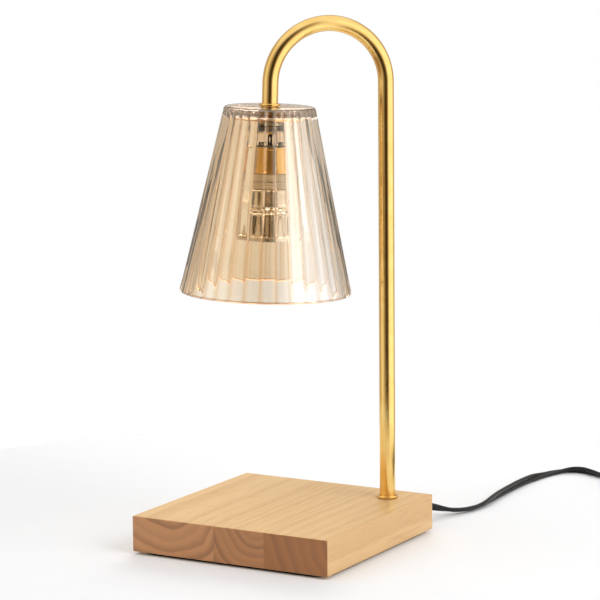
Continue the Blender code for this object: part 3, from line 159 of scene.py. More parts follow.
def piece(name, mesh, finish, replaces=(), body="lamp", at=Matrix()):
    """A named piece with its finish, riding on a body, in the place of the solids that it stands for."""
    mesh.shade_smooth()
    mesh.set_sharp_from_angle(angle=SHARP_ANGLE)
    mesh.materials.clear()
    mesh.materials.append(finish)
    item = bpy.data.objects.new(name, mesh)
    item.matrix_world = at
    bpy.context.scene.collection.objects.link(item)
    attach(item, body)
    if replaces:
        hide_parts(*replaces)
    return item


print("helpers ready")

# %% [markdown]
# ## Shader helpers
# Each finish is one material on Blender's Principled shader. A few lines make a node, set its numbers
# and link its inputs, so that the recipes below read from top to bottom.
# %% Nodes in a few words
def add_node(tree, kind, inputs=None, **settings):
    """A shader node with its settings, its inputs linked or set."""
    node = tree.nodes.new("ShaderNode" + kind)
    for name, value in settings.items():
        setattr(node, name, value)
    for name, value in (inputs or {}).items():
        if isinstance(value, bpy.types.NodeSocket):
            tree.links.new(value, node.inputs[name])
        else:
            node.inputs[name].default_value = value
    return node


def maths(tree, operation, *values, clamp=False):
    """One sum on numbers or sockets."""
    node = add_node(tree, "Math", operation=operation, use_clamp=clamp)
    for socket, value in zip(node.inputs, values):
        if isinstance(value, bpy.types.NodeSocket):
            tree.links.new(value, socket)
        else:
            socket.default_value = value
    return node.outputs[0]


def stretched(tree, vector, stretch):
    """Coordinates scaled along each axis, which stretches a pattern."""
    return add_node(tree, "VectorMath", {0: vector, 1: stretch}, operation="MULTIPLY").outputs[0]


def reach_along(tree, vector, axis):
    """How far a vector reaches along an axis."""
    return add_node(tree, "VectorMath", {0: vector, 1: axis}, operation="DOT_PRODUCT").outputs["Value"]


def soft_noise(tree, vector, scale, detail, roughness=0.5):
    """Noise between 0 and 1."""
    inputs = {"Vector": vector, "Scale": scale, "Detail": detail, "Roughness": roughness}
    return add_node(tree, "TexNoise", inputs).outputs["Fac"]


def remap(tree, value, low, high, new_low=0.0, new_high=1.0):
    """A smooth, clamped change of range."""
    node = add_node(tree, "MapRange", {
        "Value": value, "From Min": low, "From Max": high, "To Min": new_low, "To Max": new_high,
    }, interpolation_type="SMOOTHSTEP")
    return node.outputs[0]


def blend_colours(tree, share, first, second):
    """Two colours or sockets mixed by a share."""
    node = add_node(tree, "Mix", data_type="RGBA")
    for socket, value in zip((node.inputs[0], node.inputs[6], node.inputs[7]), (share, first, second)):
        if isinstance(value, bpy.types.NodeSocket):
            tree.links.new(value, socket)
        else:
            socket.default_value = value
    return node.outputs[2]


def new_finish(name, colour, roughness, metallic=0.0, **extra):
    """A material with its plain numbers set on the shader."""
    made = bpy.data.materials.new(name)
    made.use_nodes = True
    shader = made.node_tree.nodes["Principled BSDF"]
    shader.inputs["Base Color"].default_value = (*colour, 1.0)
    shader.inputs["Roughness"].default_value = roughness
    shader.inputs["Metallic"].default_value = metallic
    for label, value in extra.items():
        shader.inputs[label.replace("_", " ").title().replace("Ior", "IOR")].default_value = value
    return made, made.node_tree, shader


def feed(tree, shader, **sockets):
    """Link changing values to the shader."""
    for label, socket in sockets.items():
        tree.links.new(socket, shader.inputs[label.replace("_", " ").title()])


print("nodes ready")

# %% [markdown]
# ## Grain that several finishes share
# Rubber, moulded plastic, ceramic and metal all have a fine unevenness, at different scales. One node
# group makes it from two sizes of noise in the piece's own coordinates, so each material only sets the
# scale and the stretch. It puts out a value for colour and roughness and a normal for the relief.
# %% The shared grain
def make_grain():
    group = bpy.data.node_groups.new("fine_grain", "ShaderNodeTree")
    for name, kind, value in (
        ("Scale", "NodeSocketFloat", 900.0), ("Stretch", "NodeSocketVector", (1.0, 1.0, 1.0)),
        ("Relief", "NodeSocketFloat", 0.1), ("Depth", "NodeSocketFloat", 0.0001),
    ):
        socket = group.interface.new_socket(name, in_out="INPUT", socket_type=kind)
        socket.default_value = value
    group.interface.new_socket("Value", in_out="OUTPUT", socket_type="NodeSocketFloat")
    group.interface.new_socket("Cloud", in_out="OUTPUT", socket_type="NodeSocketFloat")
    group.interface.new_socket("Normal", in_out="OUTPUT", socket_type="NodeSocketVector")
    start = group.nodes.new("NodeGroupInput")
    end = group.nodes.new("NodeGroupOutput")
    place = add_node(group, "TexCoord").outputs["Object"]
    fine_place = stretched(group, place, start.outputs["Stretch"])
    fine = soft_noise(group, fine_place, start.outputs["Scale"], 3.0, 0.6)
    cloud = soft_noise(group, place, maths(group, "MULTIPLY", start.outputs["Scale"], 0.06), 2.0)
    bump = add_node(group, "Bump", {
        "Strength": start.outputs["Relief"], "Distance": start.outputs["Depth"], "Height": fine,
    })
    group.links.new(fine, end.inputs["Value"])
    group.links.new(cloud, end.inputs["Cloud"])
    group.links.new(bump.outputs["Normal"], end.inputs["Normal"])
    return group


FINE_GRAIN = make_grain()


def add_grain(tree, scale, relief, depth, stretch=(1.0, 1.0, 1.0)):
    """The shared grain placed in one material, with that material's own values."""
    node = add_node(tree, "Group", node_tree=FINE_GRAIN)
    for label, value in (("Scale", scale), ("Relief", relief), ("Depth", depth), ("Stretch", stretch)):
        node.inputs[label].default_value = value
    return node.outputs


print("the grain has", len(FINE_GRAIN.nodes), "nodes")

# %% [markdown]
# ## Black rubber and black plastic
# The cord's jacket, the strain reliefs and the plug are soft black vinyl with a dull shine. The dimmer
# and the pocket cover are harder, with a fine spark-eroded texture. Both are nearly black with lighter
# worn clouds, which is what keeps black things from looking like holes in a picture.
# %% Rubber and plastic
def make_black(name, colour, worn, roughness, scale, relief, depth):
    made, tree, shader = new_finish(name, colour, roughness, specular_ior_level=0.30)
    grain = add_grain(tree, scale, relief, depth)
    tone = remap(tree, grain["Cloud"], 0.35, 0.75)
    feed(
        tree, shader, base_color=blend_colours(tree, tone, (*colour, 1.0), (*worn, 1.0)),
        roughness=remap(tree, grain["Value"], 0.3, 0.7, roughness - 0.06, roughness + 0.08),
        normal=grain["Normal"],
    )
    return made


BLACK_RUBBER = make_black(
    "black_rubber", (0.009, 0.009, 0.010), (0.018, 0.018, 0.020), 0.27, 1400.0, 0.12, 0.0001,
)
BLACK_PLASTIC = make_black(
    "black_plastic", (0.016, 0.016, 0.017), (0.028, 0.028, 0.030), 0.44, 3200.0, 0.5, 0.0001,
)
print("two blacks made")

# %% [markdown]
# ## The flat cord
# A flat twin cord leaves the back of the block through a strain relief, twists once or twice on its way
# along the table, and runs through a dimmer to a coil of spare length and a plug. It is one section, a
# figure of eight, carried along a smooth curve. A curve object could bevel it, but a mesh lets the
# section roll about the curve, which is what makes this cord look real.
# %% Smooth routes
SMOOTH_STEPS = 24
CORD_WIDTH = 0.0056
STRAND_RADIUS = CORD_WIDTH / 4
STRAND_POINTS = 9
CORD_STEP = 0.0016


def smooth_route(points, spacing):
    """Points an even step apart on a smooth curve through the given ones."""
    places = [Vector(point) for point in points]
    ends = [2 * places[0] - places[1]] + places + [2 * places[-1] - places[-2]]
    dense = []
    for before, first, last, after in zip(ends, ends[1:], ends[2:], ends[3:]):
        reach = (last - first).length
        leave = (last - before).normalized() * reach
        arrive = (after - first).normalized() * reach
        for step in range(SMOOTH_STEPS):
            t = step / SMOOTH_STEPS
            dense.append(
                first * (2 * t**3 - 3 * t**2 + 1) + leave * (t**3 - 2 * t**2 + t)
                + last * (3 * t**2 - 2 * t**3) + arrive * (t**3 - t**2)
            )
    dense.append(places[-1])
    total = sum((b - a).length for a, b in zip(dense, dense[1:]))
    count = max(2, round(total / spacing))
    even, walked, goal = [dense[0]], 0.0, total / count
    for a, b in zip(dense, dense[1:]):
        run = (b - a).length
        while walked + run >= goal and len(even) < count:
            even.append(a.lerp(b, (goal - walked) / run))
            goal += total / count
        walked += run
    even.append(dense[-1])
    return even


def keyed(keys, distance):
    """A value that eases from key to key along the cord."""
    for (low, first), (high, last) in zip(keys, keys[1:]):
        if distance <= high:
            t = max(0.0, (distance - low) / (high - low))
            return first + (last - first) * t * t * (3 - 2 * t)
    return keys[-1][1]


def lengths_along(line):
    """How far each point lies along the line."""
    walked = [0.0]
    for a, b in zip(line, line[1:]):
        walked.append(walked[-1] + (b - a).length)
    return walked


def strand_section():
    """A figure of eight: two strands side by side, joined at the middle."""
    waist = math.radians(16.0)
    right = arc(STRAND_RADIUS, 0.0, STRAND_RADIUS, waist - math.pi, math.pi - waist, 2 * STRAND_POINTS)
    return right + [(-x, -y) for x, y in right]


def sweep_section(name, line, section, roll_keys):
    """The section carried along a line, rolling about it, with closed ends."""
    walked = lengths_along(line)
    rows = []
    for i, place in enumerate(line):
        way = (line[min(i + 1, len(line) - 1)] - line[max(i - 1, 0)]).normalized()
        side = way.cross(Vector((0.0, 0.0, 1.0))).normalized()
        lift = side.cross(way)
        roll = math.radians(keyed(roll_keys, walked[i]))
        wide = side * math.cos(roll) + lift * math.sin(roll)
        high = lift * math.cos(roll) - side * math.sin(roll)
        rows.append([place + wide * x + high * y for x, y in section])
    return skin(name, rows, "capped")


print("the cord's section has", len(strand_section()), "points")

# %% [markdown]
# The first stretch shows in the picture, from the block to the right edge. Its route is a list of
# places on the table, the same list as in the solids. Where the flat cord stands on its edge its
# middle is higher than where it lies flat, so its height follows its roll.
# %% From the block to the dimmer
POST = 0.0485
CORD_LEVEL = 0.0088
TABLE_LEVEL = 0.0020
CORD_START = 0.058
DIMMER_PLACE = (0.1632, 0.2429)
DIMMER_TURN = math.radians(-20.0)
DIMMER_HALF = 0.031
DIMMER_LEVEL = 0.0085
CORD_SEAT = 0.0264
LEAD_ROUTE = [
    (POST, CORD_START, CORD_LEVEL), (POST, 0.0700, CORD_LEVEL), (POST, 0.0940, CORD_LEVEL),
    (0.0505, 0.1030, 0.0074), (0.0555, 0.1110, 0.0050), (0.0620, 0.1200, 0.0032),
    (0.0668, 0.1310, 0.0022), (0.0690, 0.1450, 0.0020), (0.0685, 0.1600, 0.0020),
    (0.0670, 0.1780, 0.0020), (0.0660, 0.1960, 0.0020), (0.0655, 0.2140, 0.0020),
    (0.0660, 0.2320, 0.0020), (0.0675, 0.2480, 0.0020), (0.0712, 0.2612, 0.0020),
    (0.0780, 0.2695, 0.0020), (0.0870, 0.2712, 0.0020), (0.0960, 0.2682, 0.0020),
    (0.1059, 0.2639, 0.0025), (0.1153, 0.2603, 0.0046), (0.1247, 0.2569, 0.0074),
    (0.1310, 0.2546, 0.0085),
]
LEAD_ROLL = [
    (0.0, 60.0), (0.044, 60.0), (0.064, 8.0), (0.080, 20.0), (0.125, 84.0), (0.165, 100.0),
    (0.204, 176.0), (0.230, 232.0), (0.262, 180.0), (0.285, 180.0),
]


def dimmer_point(along, across, height):
    """A place on the dimmer, from its middle."""
    x = DIMMER_PLACE[0] + along * math.cos(DIMMER_TURN) - across * math.sin(DIMMER_TURN)
    y = DIMMER_PLACE[1] + along * math.sin(DIMMER_TURN) + across * math.cos(DIMMER_TURN)
    return (x, y, height)


def rest_on_table(line, roll_keys):
    """Each point raised or lowered so that the rolled section just touches the table."""
    settled = []
    for place, distance in zip(line, lengths_along(line)):
        roll = math.radians(keyed(roll_keys, distance))
        support = STRAND_RADIUS * (1 + abs(math.sin(roll)))
        share = max(0.0, min(1.0, (CORD_LEVEL - place.z) / (CORD_LEVEL - TABLE_LEVEL)))
        settled.append(place + Vector((0.0, 0.0, (support - TABLE_LEVEL) * share)))
    return settled


def measure(line):
    return sum((b - a).length for a, b in zip(line, line[1:]))


lead_line = smooth_route(LEAD_ROUTE + [dimmer_point(-CORD_SEAT, 0.0, DIMMER_LEVEL)], CORD_STEP)
lead_line = rest_on_table(lead_line, LEAD_ROLL)
lead_cord = piece(
    "cord_to_dimmer", sweep_section("cord_to_dimmer", lead_line, strand_section(), LEAD_ROLL),
    BLACK_RUBBER, ["cord_lead"],
)
print("the cord to the dimmer is", round(measure(lead_line), 4), "m long")

# %% [markdown]
# The spare length is wound as for storage: seven turns in two layers, flat on each other, held by a
# strap. The turns spiral inward, climb in half a turn and spiral out again, and then the cord runs
# down to the plug. A flat cord lies lower than the round rod that stands for it in the solids.
# %% From the dimmer to the plug
COIL_PLACE = (0.2068, 0.1845)
COIL_OUTER = 0.0400
COIL_PITCH = 0.0058
COIL_FLOOR = 0.00288
COIL_LAYER = 0.0044
COIL_START = math.radians(70.0)
COIL_TURNS = 7 + 70 / 360
COIL_CLIMB = 0.5
COIL_TURN_POINTS = 24
SPIRAL_TURNS = (COIL_TURNS - COIL_CLIMB) / 2
COIL_INNER = COIL_OUTER - COIL_PITCH * SPIRAL_TURNS
PLUG_PLACE = (0.243, 0.112)
PLUG_LEVEL = 0.00625
FIT_GAP = 0.0003
LINK_ROUTE = [(0.1975, 0.2304, 0.0079), (0.2027, 0.2286, 0.0057), (0.2080, 0.2266, 0.0035)]
TAIL_ROUTE = [
    (0.2467, 0.1700, 0.0059), (0.2463, 0.1610, 0.0036), (0.2456, 0.1520, 0.0022),
    (0.2447, 0.1430, 0.0020), (0.2437, 0.1340, 0.0027), (0.2431, 0.1260, 0.0044),
    (0.2430, 0.1190, 0.0060),
]
LINK_LENGTH = 0.031
COIL_LENGTH = 1.344
CLIMB_START, CLIMB_END = 0.665, 0.745
SETTLE_KEYS = [
    (0.0, 0.0), (LINK_LENGTH, 0.0006), (CLIMB_START, 0.0006), (CLIMB_END, 0.0021),
    (LINK_LENGTH + COIL_LENGTH, 0.0021), (1.405, 0.0005), (1.425, 0.0005), (1.444, 0.0),
]


def coil_point(turn):
    """The cord's middle line after so many turns of the coil."""
    climbing = turn - SPIRAL_TURNS
    if climbing < 0:
        radius, climb = COIL_OUTER - COIL_PITCH * turn, 0.0
    elif climbing < COIL_CLIMB:
        radius, climb = COIL_INNER, climbing / COIL_CLIMB
    else:
        radius, climb = COIL_INNER + COIL_PITCH * (climbing - COIL_CLIMB), 1.0
    angle = COIL_START - 2 * math.pi * turn
    height = COIL_FLOOR + COIL_LAYER * (1 - math.cos(math.pi * climb)) / 2
    x = COIL_PLACE[0] + radius * math.cos(angle)
    y = COIL_PLACE[1] + radius * math.sin(angle)
    return Vector((x, y, height))


def spare_route():
    """Every place on the way from the dimmer through the coil to the plug."""
    count = round(COIL_TURNS * COIL_TURN_POINTS)
    coil = [coil_point(COIL_TURNS * step / count) for step in range(count + 1)]
    first = [dimmer_point(CORD_SEAT, 0.0, DIMMER_LEVEL), dimmer_point(DIMMER_HALF, 0.0, DIMMER_LEVEL)]
    return first + LINK_ROUTE + coil + TAIL_ROUTE + [(PLUG_PLACE[0], PLUG_PLACE[1] + FIT_GAP, PLUG_LEVEL)]


spare_line = smooth_route(spare_route(), 2 * CORD_STEP)
spare_line = [
    place - Vector((0.0, 0.0, keyed(SETTLE_KEYS, distance)))
    for place, distance in zip(spare_line, lengths_along(spare_line))
]
FLAT = [(0.0, 0.0), (2.0, 0.0)]
spare_cord = piece(
    "cord_to_plug", sweep_section("cord_to_plug", spare_line, strand_section(), FLAT),
    BLACK_RUBBER, ["cord_link", "cord_coil", "cord_tail"],
)
print("the cord to the plug is", round(measure(spare_line), 4), "m long")

# %% [markdown]
# ## The stage
# The lamp stands on a white sweep, as in a shop's picture: nothing shows but a soft, pale shadow
# close to the block. The floor is a white surface that also glows a little towards the camera, so that
# its lit part comes out pure white and the shadow stays. Gloss and glass see the same white.
# %% Floor and backdrop
FLOOR_RADIUS = 0.36
FLOOR_POINTS = 96
FLOOR_GLOW = 0.05
FLOOR_COLOUR = (0.88, 0.885, 0.895)


def make_floor_finish():
    made, tree, shader = new_finish("white_sweep", FLOOR_COLOUR, 0.9, emission_color=(1.0, 1.0, 1.0, 1.0))
    path = add_node(tree, "LightPath").outputs
    seen = maths(tree, "MAXIMUM", path["Is Camera Ray"], path["Is Glossy Ray"])
    seen = maths(tree, "MAXIMUM", seen, path["Is Transmission Ray"])
    tree.links.new(maths(tree, "MULTIPLY", seen, FLOOR_GLOW), shader.inputs["Emission Strength"])
    return made


def make_floor():
    shape = bmesh.new()
    bmesh.ops.create_circle(shape, cap_ends=True, segments=FLOOR_POINTS, radius=FLOOR_RADIUS)
    mesh = bpy.data.meshes.new("floor")
    shape.to_mesh(mesh)
    shape.free()
    mesh.materials.append(make_floor_finish())
    floor = bpy.data.objects.new("floor", mesh)
    bpy.context.scene.collection.objects.link(floor)


make_floor()
print("the floor is", 2 * FLOOR_RADIUS, "m wide")

# %% [markdown]
# ## The light
# Polished brass shows its surroundings more than its own colour. In the picture the tube has a bright
# right side, a narrower bright left side and a dark band between: a large window of light on the
# right, a smaller one on the left, and a dark room behind the camera. The world's colour follows its
# bearing to make that room, and three soft lamps give the shadow.
# %% Studio light
TO_RIGHT = (math.cos(CAMERA_BEARING), math.sin(CAMERA_BEARING), 0.0)
TO_LENS = (math.sin(CAMERA_BEARING), -math.cos(CAMERA_BEARING), 0.0)
ROOM_FILL = 0.40
ROOM_STOPS = [
    # bearing in degrees from the camera, right hand positive, and the brightness there
    (-180.0, 0.60), (-150.0, 0.60), (-128.0, 0.60), (-100.0, 0.60), (-84.0, 1.00), (-58.0, 0.85),
    (-38.0, 0.42), (-14.0, 0.06), (6.0, 0.03), (20.0, 0.35), (38.0, 1.35), (100.0, 1.45),
    (118.0, 0.62), (136.0, 0.62), (152.0, 0.60), (180.0, 0.60),
]


def make_world():
    world = bpy.data.worlds.new("studio")
    bpy.context.scene.world = world
    world.use_nodes = True
    tree = world.node_tree
    tree.nodes.clear()
    way = add_node(tree, "TexCoord").outputs["Generated"]
    parts = add_node(tree, "SeparateXYZ", {"Vector": way}).outputs
    bearing = maths(tree, "ARCTAN2", reach_along(tree, way, TO_RIGHT), reach_along(tree, way, TO_LENS))
    share = maths(tree, "MULTIPLY_ADD", bearing, 0.5 / math.pi, 0.5)
    ramp_node = add_node(tree, "ValToRGB", {"Fac": share})
    ramp = ramp_node.color_ramp
    ramp.interpolation = "EASE"
    brightest = max(level for degrees, level in ROOM_STOPS)
    while len(ramp.elements) < len(ROOM_STOPS):
        ramp.elements.new(0.5)
    for element, (degrees, level) in zip(ramp.elements, ROOM_STOPS):
        element.position = degrees / 360.0 + 0.5
        share, pale = level / brightest, min(1.0, level)
        element.color = (share, share * (0.72 + 0.28 * pale), share * (0.40 + 0.60 * pale), 1.0)
    overhead = remap(tree, parts["Z"], 0.45, 0.85)
    room = blend_colours(tree, overhead, ramp_node.outputs["Color"], (0.75, 0.75, 0.75, 1.0))
    path = add_node(tree, "LightPath").outputs
    unmirrored = maths(tree, "LESS_THAN", path["Glossy Depth"], 0.5)
    through = maths(tree, "MULTIPLY", path["Is Transmission Ray"], unmirrored)
    plain = maths(tree, "MAXIMUM", path["Is Camera Ray"], through)
    white = (1.0 / brightest, 1.0 / brightest, 1.0 / brightest, 1.0)
    room = blend_colours(tree, plain, room, white)
    soft = maths(tree, "MULTIPLY_ADD", path["Is Diffuse Ray"], ROOM_FILL - 1.0, 1.0)
    level = maths(tree, "MULTIPLY", soft, brightest)
    sky = add_node(tree, "Background", {"Color": room, "Strength": level})
    end = add_node(tree, "OutputWorld")
    tree.links.new(sky.outputs[0], end.inputs["Surface"])


def add_softbox(name, place, aim, size, power):
    lamp = bpy.data.lights.new(name, "AREA")
    lamp.shape = "RECTANGLE"
    lamp.size, lamp.size_y = size
    lamp.energy = power
    item = bpy.data.objects.new(name, lamp)
    item.location = place
    item.rotation_euler = (Vector(aim) - Vector(place)).to_track_quat("-Z", "Y").to_euler()
    item.visible_glossy = False
    bpy.context.scene.collection.objects.link(item)


make_world()
LAMP_MIDDLE = (0.0, 0.0, 0.12)
add_softbox("window_right", (1.5, -0.2, 1.1), LAMP_MIDDLE, (1.2, 1.2), 16.0)
add_softbox("soft_top", (-0.4, -0.6, 1.8), LAMP_MIDDLE, (1.5, 1.5), 10.0)
add_softbox("soft_back", (-0.6, 1.6, 0.9), LAMP_MIDDLE, (1.4, 1.0), 20.0)
print("the room has", len(ROOM_STOPS), "levels of light")

# %% [markdown]
# ## The wooden block
# Three staves of a pale hardwood are glued side by side with their grain along the block's depth. The
# front and back show their end grain, browner and with the year rings as arcs, and the other faces
# show long grain. A flat picture of wood would need one image for each face. Rings computed in the
# solid, round one centre for each stave, meet properly at every edge.
# %% Laminated wood
STAVE_JOINTS = (-0.0104, 0.0255)
RING_MIDDLES = ((-0.046, 0.044), (0.020, 0.031), (0.124, 0.043))
RING_STEPS = (0.0078, 0.0060, 0.0085)
STAVE_TONES = (0.15, 0.50, 0.90)


def by_stave(tree, beyond, values):
    """A number that steps from stave to stave."""
    first = maths(tree, "MULTIPLY_ADD", beyond[0], values[1] - values[0], values[0])
    return maths(tree, "MULTIPLY_ADD", beyond[1], values[2] - values[1], first)


def make_wood():
    made, tree, shader = new_finish(
        "honey_wood", (0.74, 0.48, 0.22), 0.42, coat_weight=0.18, coat_roughness=0.12,
    )
    coordinates = add_node(tree, "TexCoord").outputs
    place = add_node(tree, "SeparateXYZ", {"Vector": coordinates["Object"]}).outputs
    beyond = [maths(tree, "GREATER_THAN", place["X"], joint) for joint in STAVE_JOINTS]
    along = stretched(tree, coordinates["Object"], (1.0, 0.10, 1.0))
    drift = by_stave(tree, beyond, (0.0, 3.1, 7.7))
    wander = add_node(tree, "TexNoise", {
        "Vector": along, "W": drift, "Scale": 32.0, "Detail": 2.0,
    }, noise_dimensions="4D").outputs["Fac"]
    squares = []
    for axis, middles in zip("XZ", zip(*RING_MIDDLES)):
        off = maths(tree, "SUBTRACT", place[axis], by_stave(tree, beyond, middles))
        squares.append(maths(tree, "POWER", off, 2.0))
    reach = maths(tree, "SQRT", maths(tree, "ADD", *squares))
    reach = maths(tree, "MULTIPLY_ADD", wander, 0.012, reach)
    count = maths(tree, "DIVIDE", reach, by_stave(tree, beyond, RING_STEPS))
    year = maths(tree, "FRACT", count)
    late = maths(tree, "MULTIPLY", remap(tree, year, 0.15, 0.80), remap(tree, year, 1.0, 0.82))
    index = maths(tree, "FLOOR", count)
    seed = maths(tree, "ADD", index, drift)
    strength = add_node(tree, "TexWhiteNoise", {"W": seed}, noise_dimensions="1D").outputs["Value"]
    late = maths(tree, "MULTIPLY", late, remap(tree, strength, 0.0, 1.0, 0.25, 1.0))

    fibre = soft_noise(tree, stretched(tree, coordinates["Object"], (1.0, 0.035, 1.0)), 1500.0, 4.0, 0.65)
    fleck = soft_noise(tree, stretched(tree, coordinates["Object"], (1.0, 0.07, 1.0)), 260.0, 3.0, 0.7)
    patch = soft_noise(tree, along, 18.0, 2.0)

    normal = add_node(tree, "SeparateXYZ", {"Vector": coordinates["Normal"]}).outputs
    end_grain = remap(tree, maths(tree, "ABSOLUTE", normal["Y"]), 0.55, 0.85)
    tone = by_stave(tree, beyond, STAVE_TONES)

    long_light = blend_colours(tree, patch, (0.86, 0.60, 0.31, 1.0), (0.75, 0.455, 0.18, 1.0))
    long_late = maths(tree, "MULTIPLY", late, 0.42)
    long_colour = blend_colours(tree, long_late, long_light, (0.60, 0.31, 0.10, 1.0))
    specks = maths(tree, "MULTIPLY", remap(tree, fleck, 0.52, 0.74), 0.38)
    long_colour = blend_colours(tree, specks, long_colour, (0.56, 0.30, 0.11, 1.0))
    end_light = blend_colours(tree, tone, (0.70, 0.335, 0.135, 1.0), (0.42, 0.157, 0.042, 1.0))
    end_late = maths(tree, "MULTIPLY", late, 0.60)
    end_colour = blend_colours(tree, end_late, end_light, (0.26, 0.105, 0.042, 1.0))
    colour = blend_colours(tree, end_grain, long_colour, end_colour)
    pores = maths(tree, "MULTIPLY", remap(tree, fibre, 0.50, 0.72), 0.22)
    colour = blend_colours(tree, pores, colour, (0.36, 0.17, 0.06, 1.0))
    for joint in STAVE_JOINTS:
        nearness = maths(tree, "ABSOLUTE", maths(tree, "SUBTRACT", place["X"], joint))
        line = maths(tree, "MULTIPLY", remap(tree, nearness, 0.00045, 0.0001), 0.45)
        colour = blend_colours(tree, line, colour, (0.34, 0.16, 0.06, 1.0))
    bump = add_node(tree, "Bump", {"Strength": 0.12, "Distance": 0.0002, "Height": fibre})
    feed(
        tree, shader, base_color=colour, roughness=remap(tree, fibre, 0.3, 0.7, 0.36, 0.50),
        normal=bump.outputs["Normal"],
    )
    return made


def refinish(node, finish):
    """Give a solid that stays in view its finish."""
    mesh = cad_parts[node].data
    mesh.materials.clear()
    mesh.materials.append(finish)


HONEY_WOOD = make_wood()
refinish("base_block", HONEY_WOOD)
print("the wood has", len(HONEY_WOOD.node_tree.nodes), "nodes")

# %% [markdown]
# ## Brass
# The tube, its collars and the plate in the shade are polished brass, lacquered. The colour is close
# to pale gold where it mirrors the windows and turns brown where it mirrors the dark. Fine lines run
# along the tube from polishing, and they only change the roughness a little.
# %% Polished brass
def make_brass():
    made, tree, shader = new_finish("brass", (0.93, 0.62, 0.21), 0.16, 1.0)
    grain = add_grain(tree, 1600.0, 0.06, 0.00005, (1.0, 1.0, 0.04))
    cloudy = remap(tree, grain["Cloud"], 0.3, 0.7)
    feed(
        tree, shader,
        base_color=blend_colours(tree, cloudy, (0.94, 0.64, 0.225, 1.0), (0.89, 0.575, 0.18, 1.0)),
        roughness=remap(tree, grain["Value"], 0.3, 0.7, 0.12, 0.20), normal=grain["Normal"],
    )
    return made


BRASS = make_brass()
print("brass made")

# %% [markdown]
# ## The bent tube
# One length of tube is bent nearly to a half circle, so that its short end hangs over the middle of the
# block. The bend stops two degrees short, and so the shade and the bulb hang a little out of plumb.
# It is a real tube with a wall, since its lower end and its mouth over the bulb are open. Rings along
# the bend line, outer and inner, make it in one skin.
# %% The stem
TUBE_RADIUS = 0.005
TUBE_WALL = 0.0008
ARCH_RADIUS = 0.0375
ARCH_TURN = math.radians(225.0)
ARCH_BEND = math.radians(178.0)
ARCH_STEPS = 64
TUBE_SIDES = 48
NUT_HEIGHT = 0.0030
TUBE_PROUD = 0.0012
SHADE_DROP = 0.0145
SHADE_ROOF = 0.0052
GASKET_THICKNESS = 0.0006
PLATE_THICKNESS = 0.0017
BRACKET_SHEET = 0.0010
tube_low, tube_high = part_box("stem_tube")
ARCH_LEVEL = tube_high.z - TUBE_RADIUS - ARCH_RADIUS
SHADE_TOP = ARCH_LEVEL - SHADE_DROP
GASKET_TOP = SHADE_TOP - SHADE_ROOF - FIT_GAP
PLATE_TOP = GASKET_TOP - GASKET_THICKNESS - FIT_GAP
SHADE_NUT_TOP = PLATE_TOP - PLATE_THICKNESS - FIT_GAP
BRACKET_TOP = SHADE_NUT_TOP - NUT_HEIGHT - FIT_GAP
BRACKET_NUT_TOP = BRACKET_TOP - BRACKET_SHEET - FIT_GAP
TUBE_END = BRACKET_NUT_TOP - NUT_HEIGHT - TUBE_PROUD
ACROSS = Vector((math.cos(ARCH_TURN), math.sin(ARCH_TURN), 0.0))
SIDEWAYS = Vector((-ACROSS.y, ACROSS.x, 0.0))
BEND_MIDDLE = Vector((POST, POST, ARCH_LEVEL)) + ARCH_RADIUS * ACROSS
LEAN = (
    Matrix.Translation(BEND_MIDDLE) @ Matrix.Rotation(ARCH_BEND - math.pi, 4, SIDEWAYS)
    @ Matrix.Translation(-BEND_MIDDLE)
)
SHORT_END = LEAN @ Matrix.Translation(Vector((POST, POST, 0.0)) + 2 * ARCH_RADIUS * ACROSS)


def stem_line():
    """The middle line of the tube and the way it points, from its foot to its mouth."""
    up = Vector((0.0, 0.0, 1.0))
    stations = [(Vector((POST, POST, tube_low.z)), up)]
    for step in range(ARCH_STEPS + 1):
        angle = ARCH_BEND * step / ARCH_STEPS
        place = BEND_MIDDLE + (up * math.sin(angle) - ACROSS * math.cos(angle)) * ARCH_RADIUS
        way = ACROSS * math.sin(angle) + up * math.cos(angle)
        stations.append((place, way))
    stations.append((SHORT_END @ Vector((0.0, 0.0, TUBE_END)), way))
    return stations


def make_tube():
    rows = []
    stations = stem_line()
    for radius, line in ((TUBE_RADIUS, stations), (TUBE_RADIUS - TUBE_WALL, stations[::-1])):
        for place, way in line:
            outward = way.cross(SIDEWAYS)
            angles = [2 * math.pi * side / TUBE_SIDES for side in range(TUBE_SIDES)]
            rows.append([place + (SIDEWAYS * math.cos(a) + outward * math.sin(a)) * radius for a in angles])
    return skin("bent_tube", rows, "ring")


piece("bent_tube", make_tube(), BRASS, ["stem_tube"])
print("the tube's mouth is", round(TUBE_END, 4), "m up, before it leans")

# %% [markdown]
# ## The collars
# A small turned collar covers the hole in the wood where the tube goes in, and another sits on the
# glass. Each is a slim bead with a soft shoulder. A turned profile with eased corners is all it needs.
# %% Collars
COLLAR_RIM = TUBE_RADIUS + 0.0017
COLLAR_HEIGHT = 0.0016
COLLAR_EASE = 0.0007
TUBE_BORE = TUBE_RADIUS + 0.0001


def make_collar(name, node, foot, at):
    top = foot + COLLAR_HEIGHT
    profile = [
        (TUBE_BORE, foot), (COLLAR_RIM, foot), (COLLAR_RIM, top), (TUBE_BORE, top),
    ]
    piece(name, turned(name, eased(profile, COLLAR_EASE, 5), 72), BRASS, [node], at=at)


make_collar("foot_collar", "base_collar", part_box("base_collar")[0].z, Matrix.Translation((POST, POST, 0.0)))
make_collar("glass_collar", "shade_collar", SHADE_TOP + FIT_GAP, SHORT_END)
print("two collars turned")

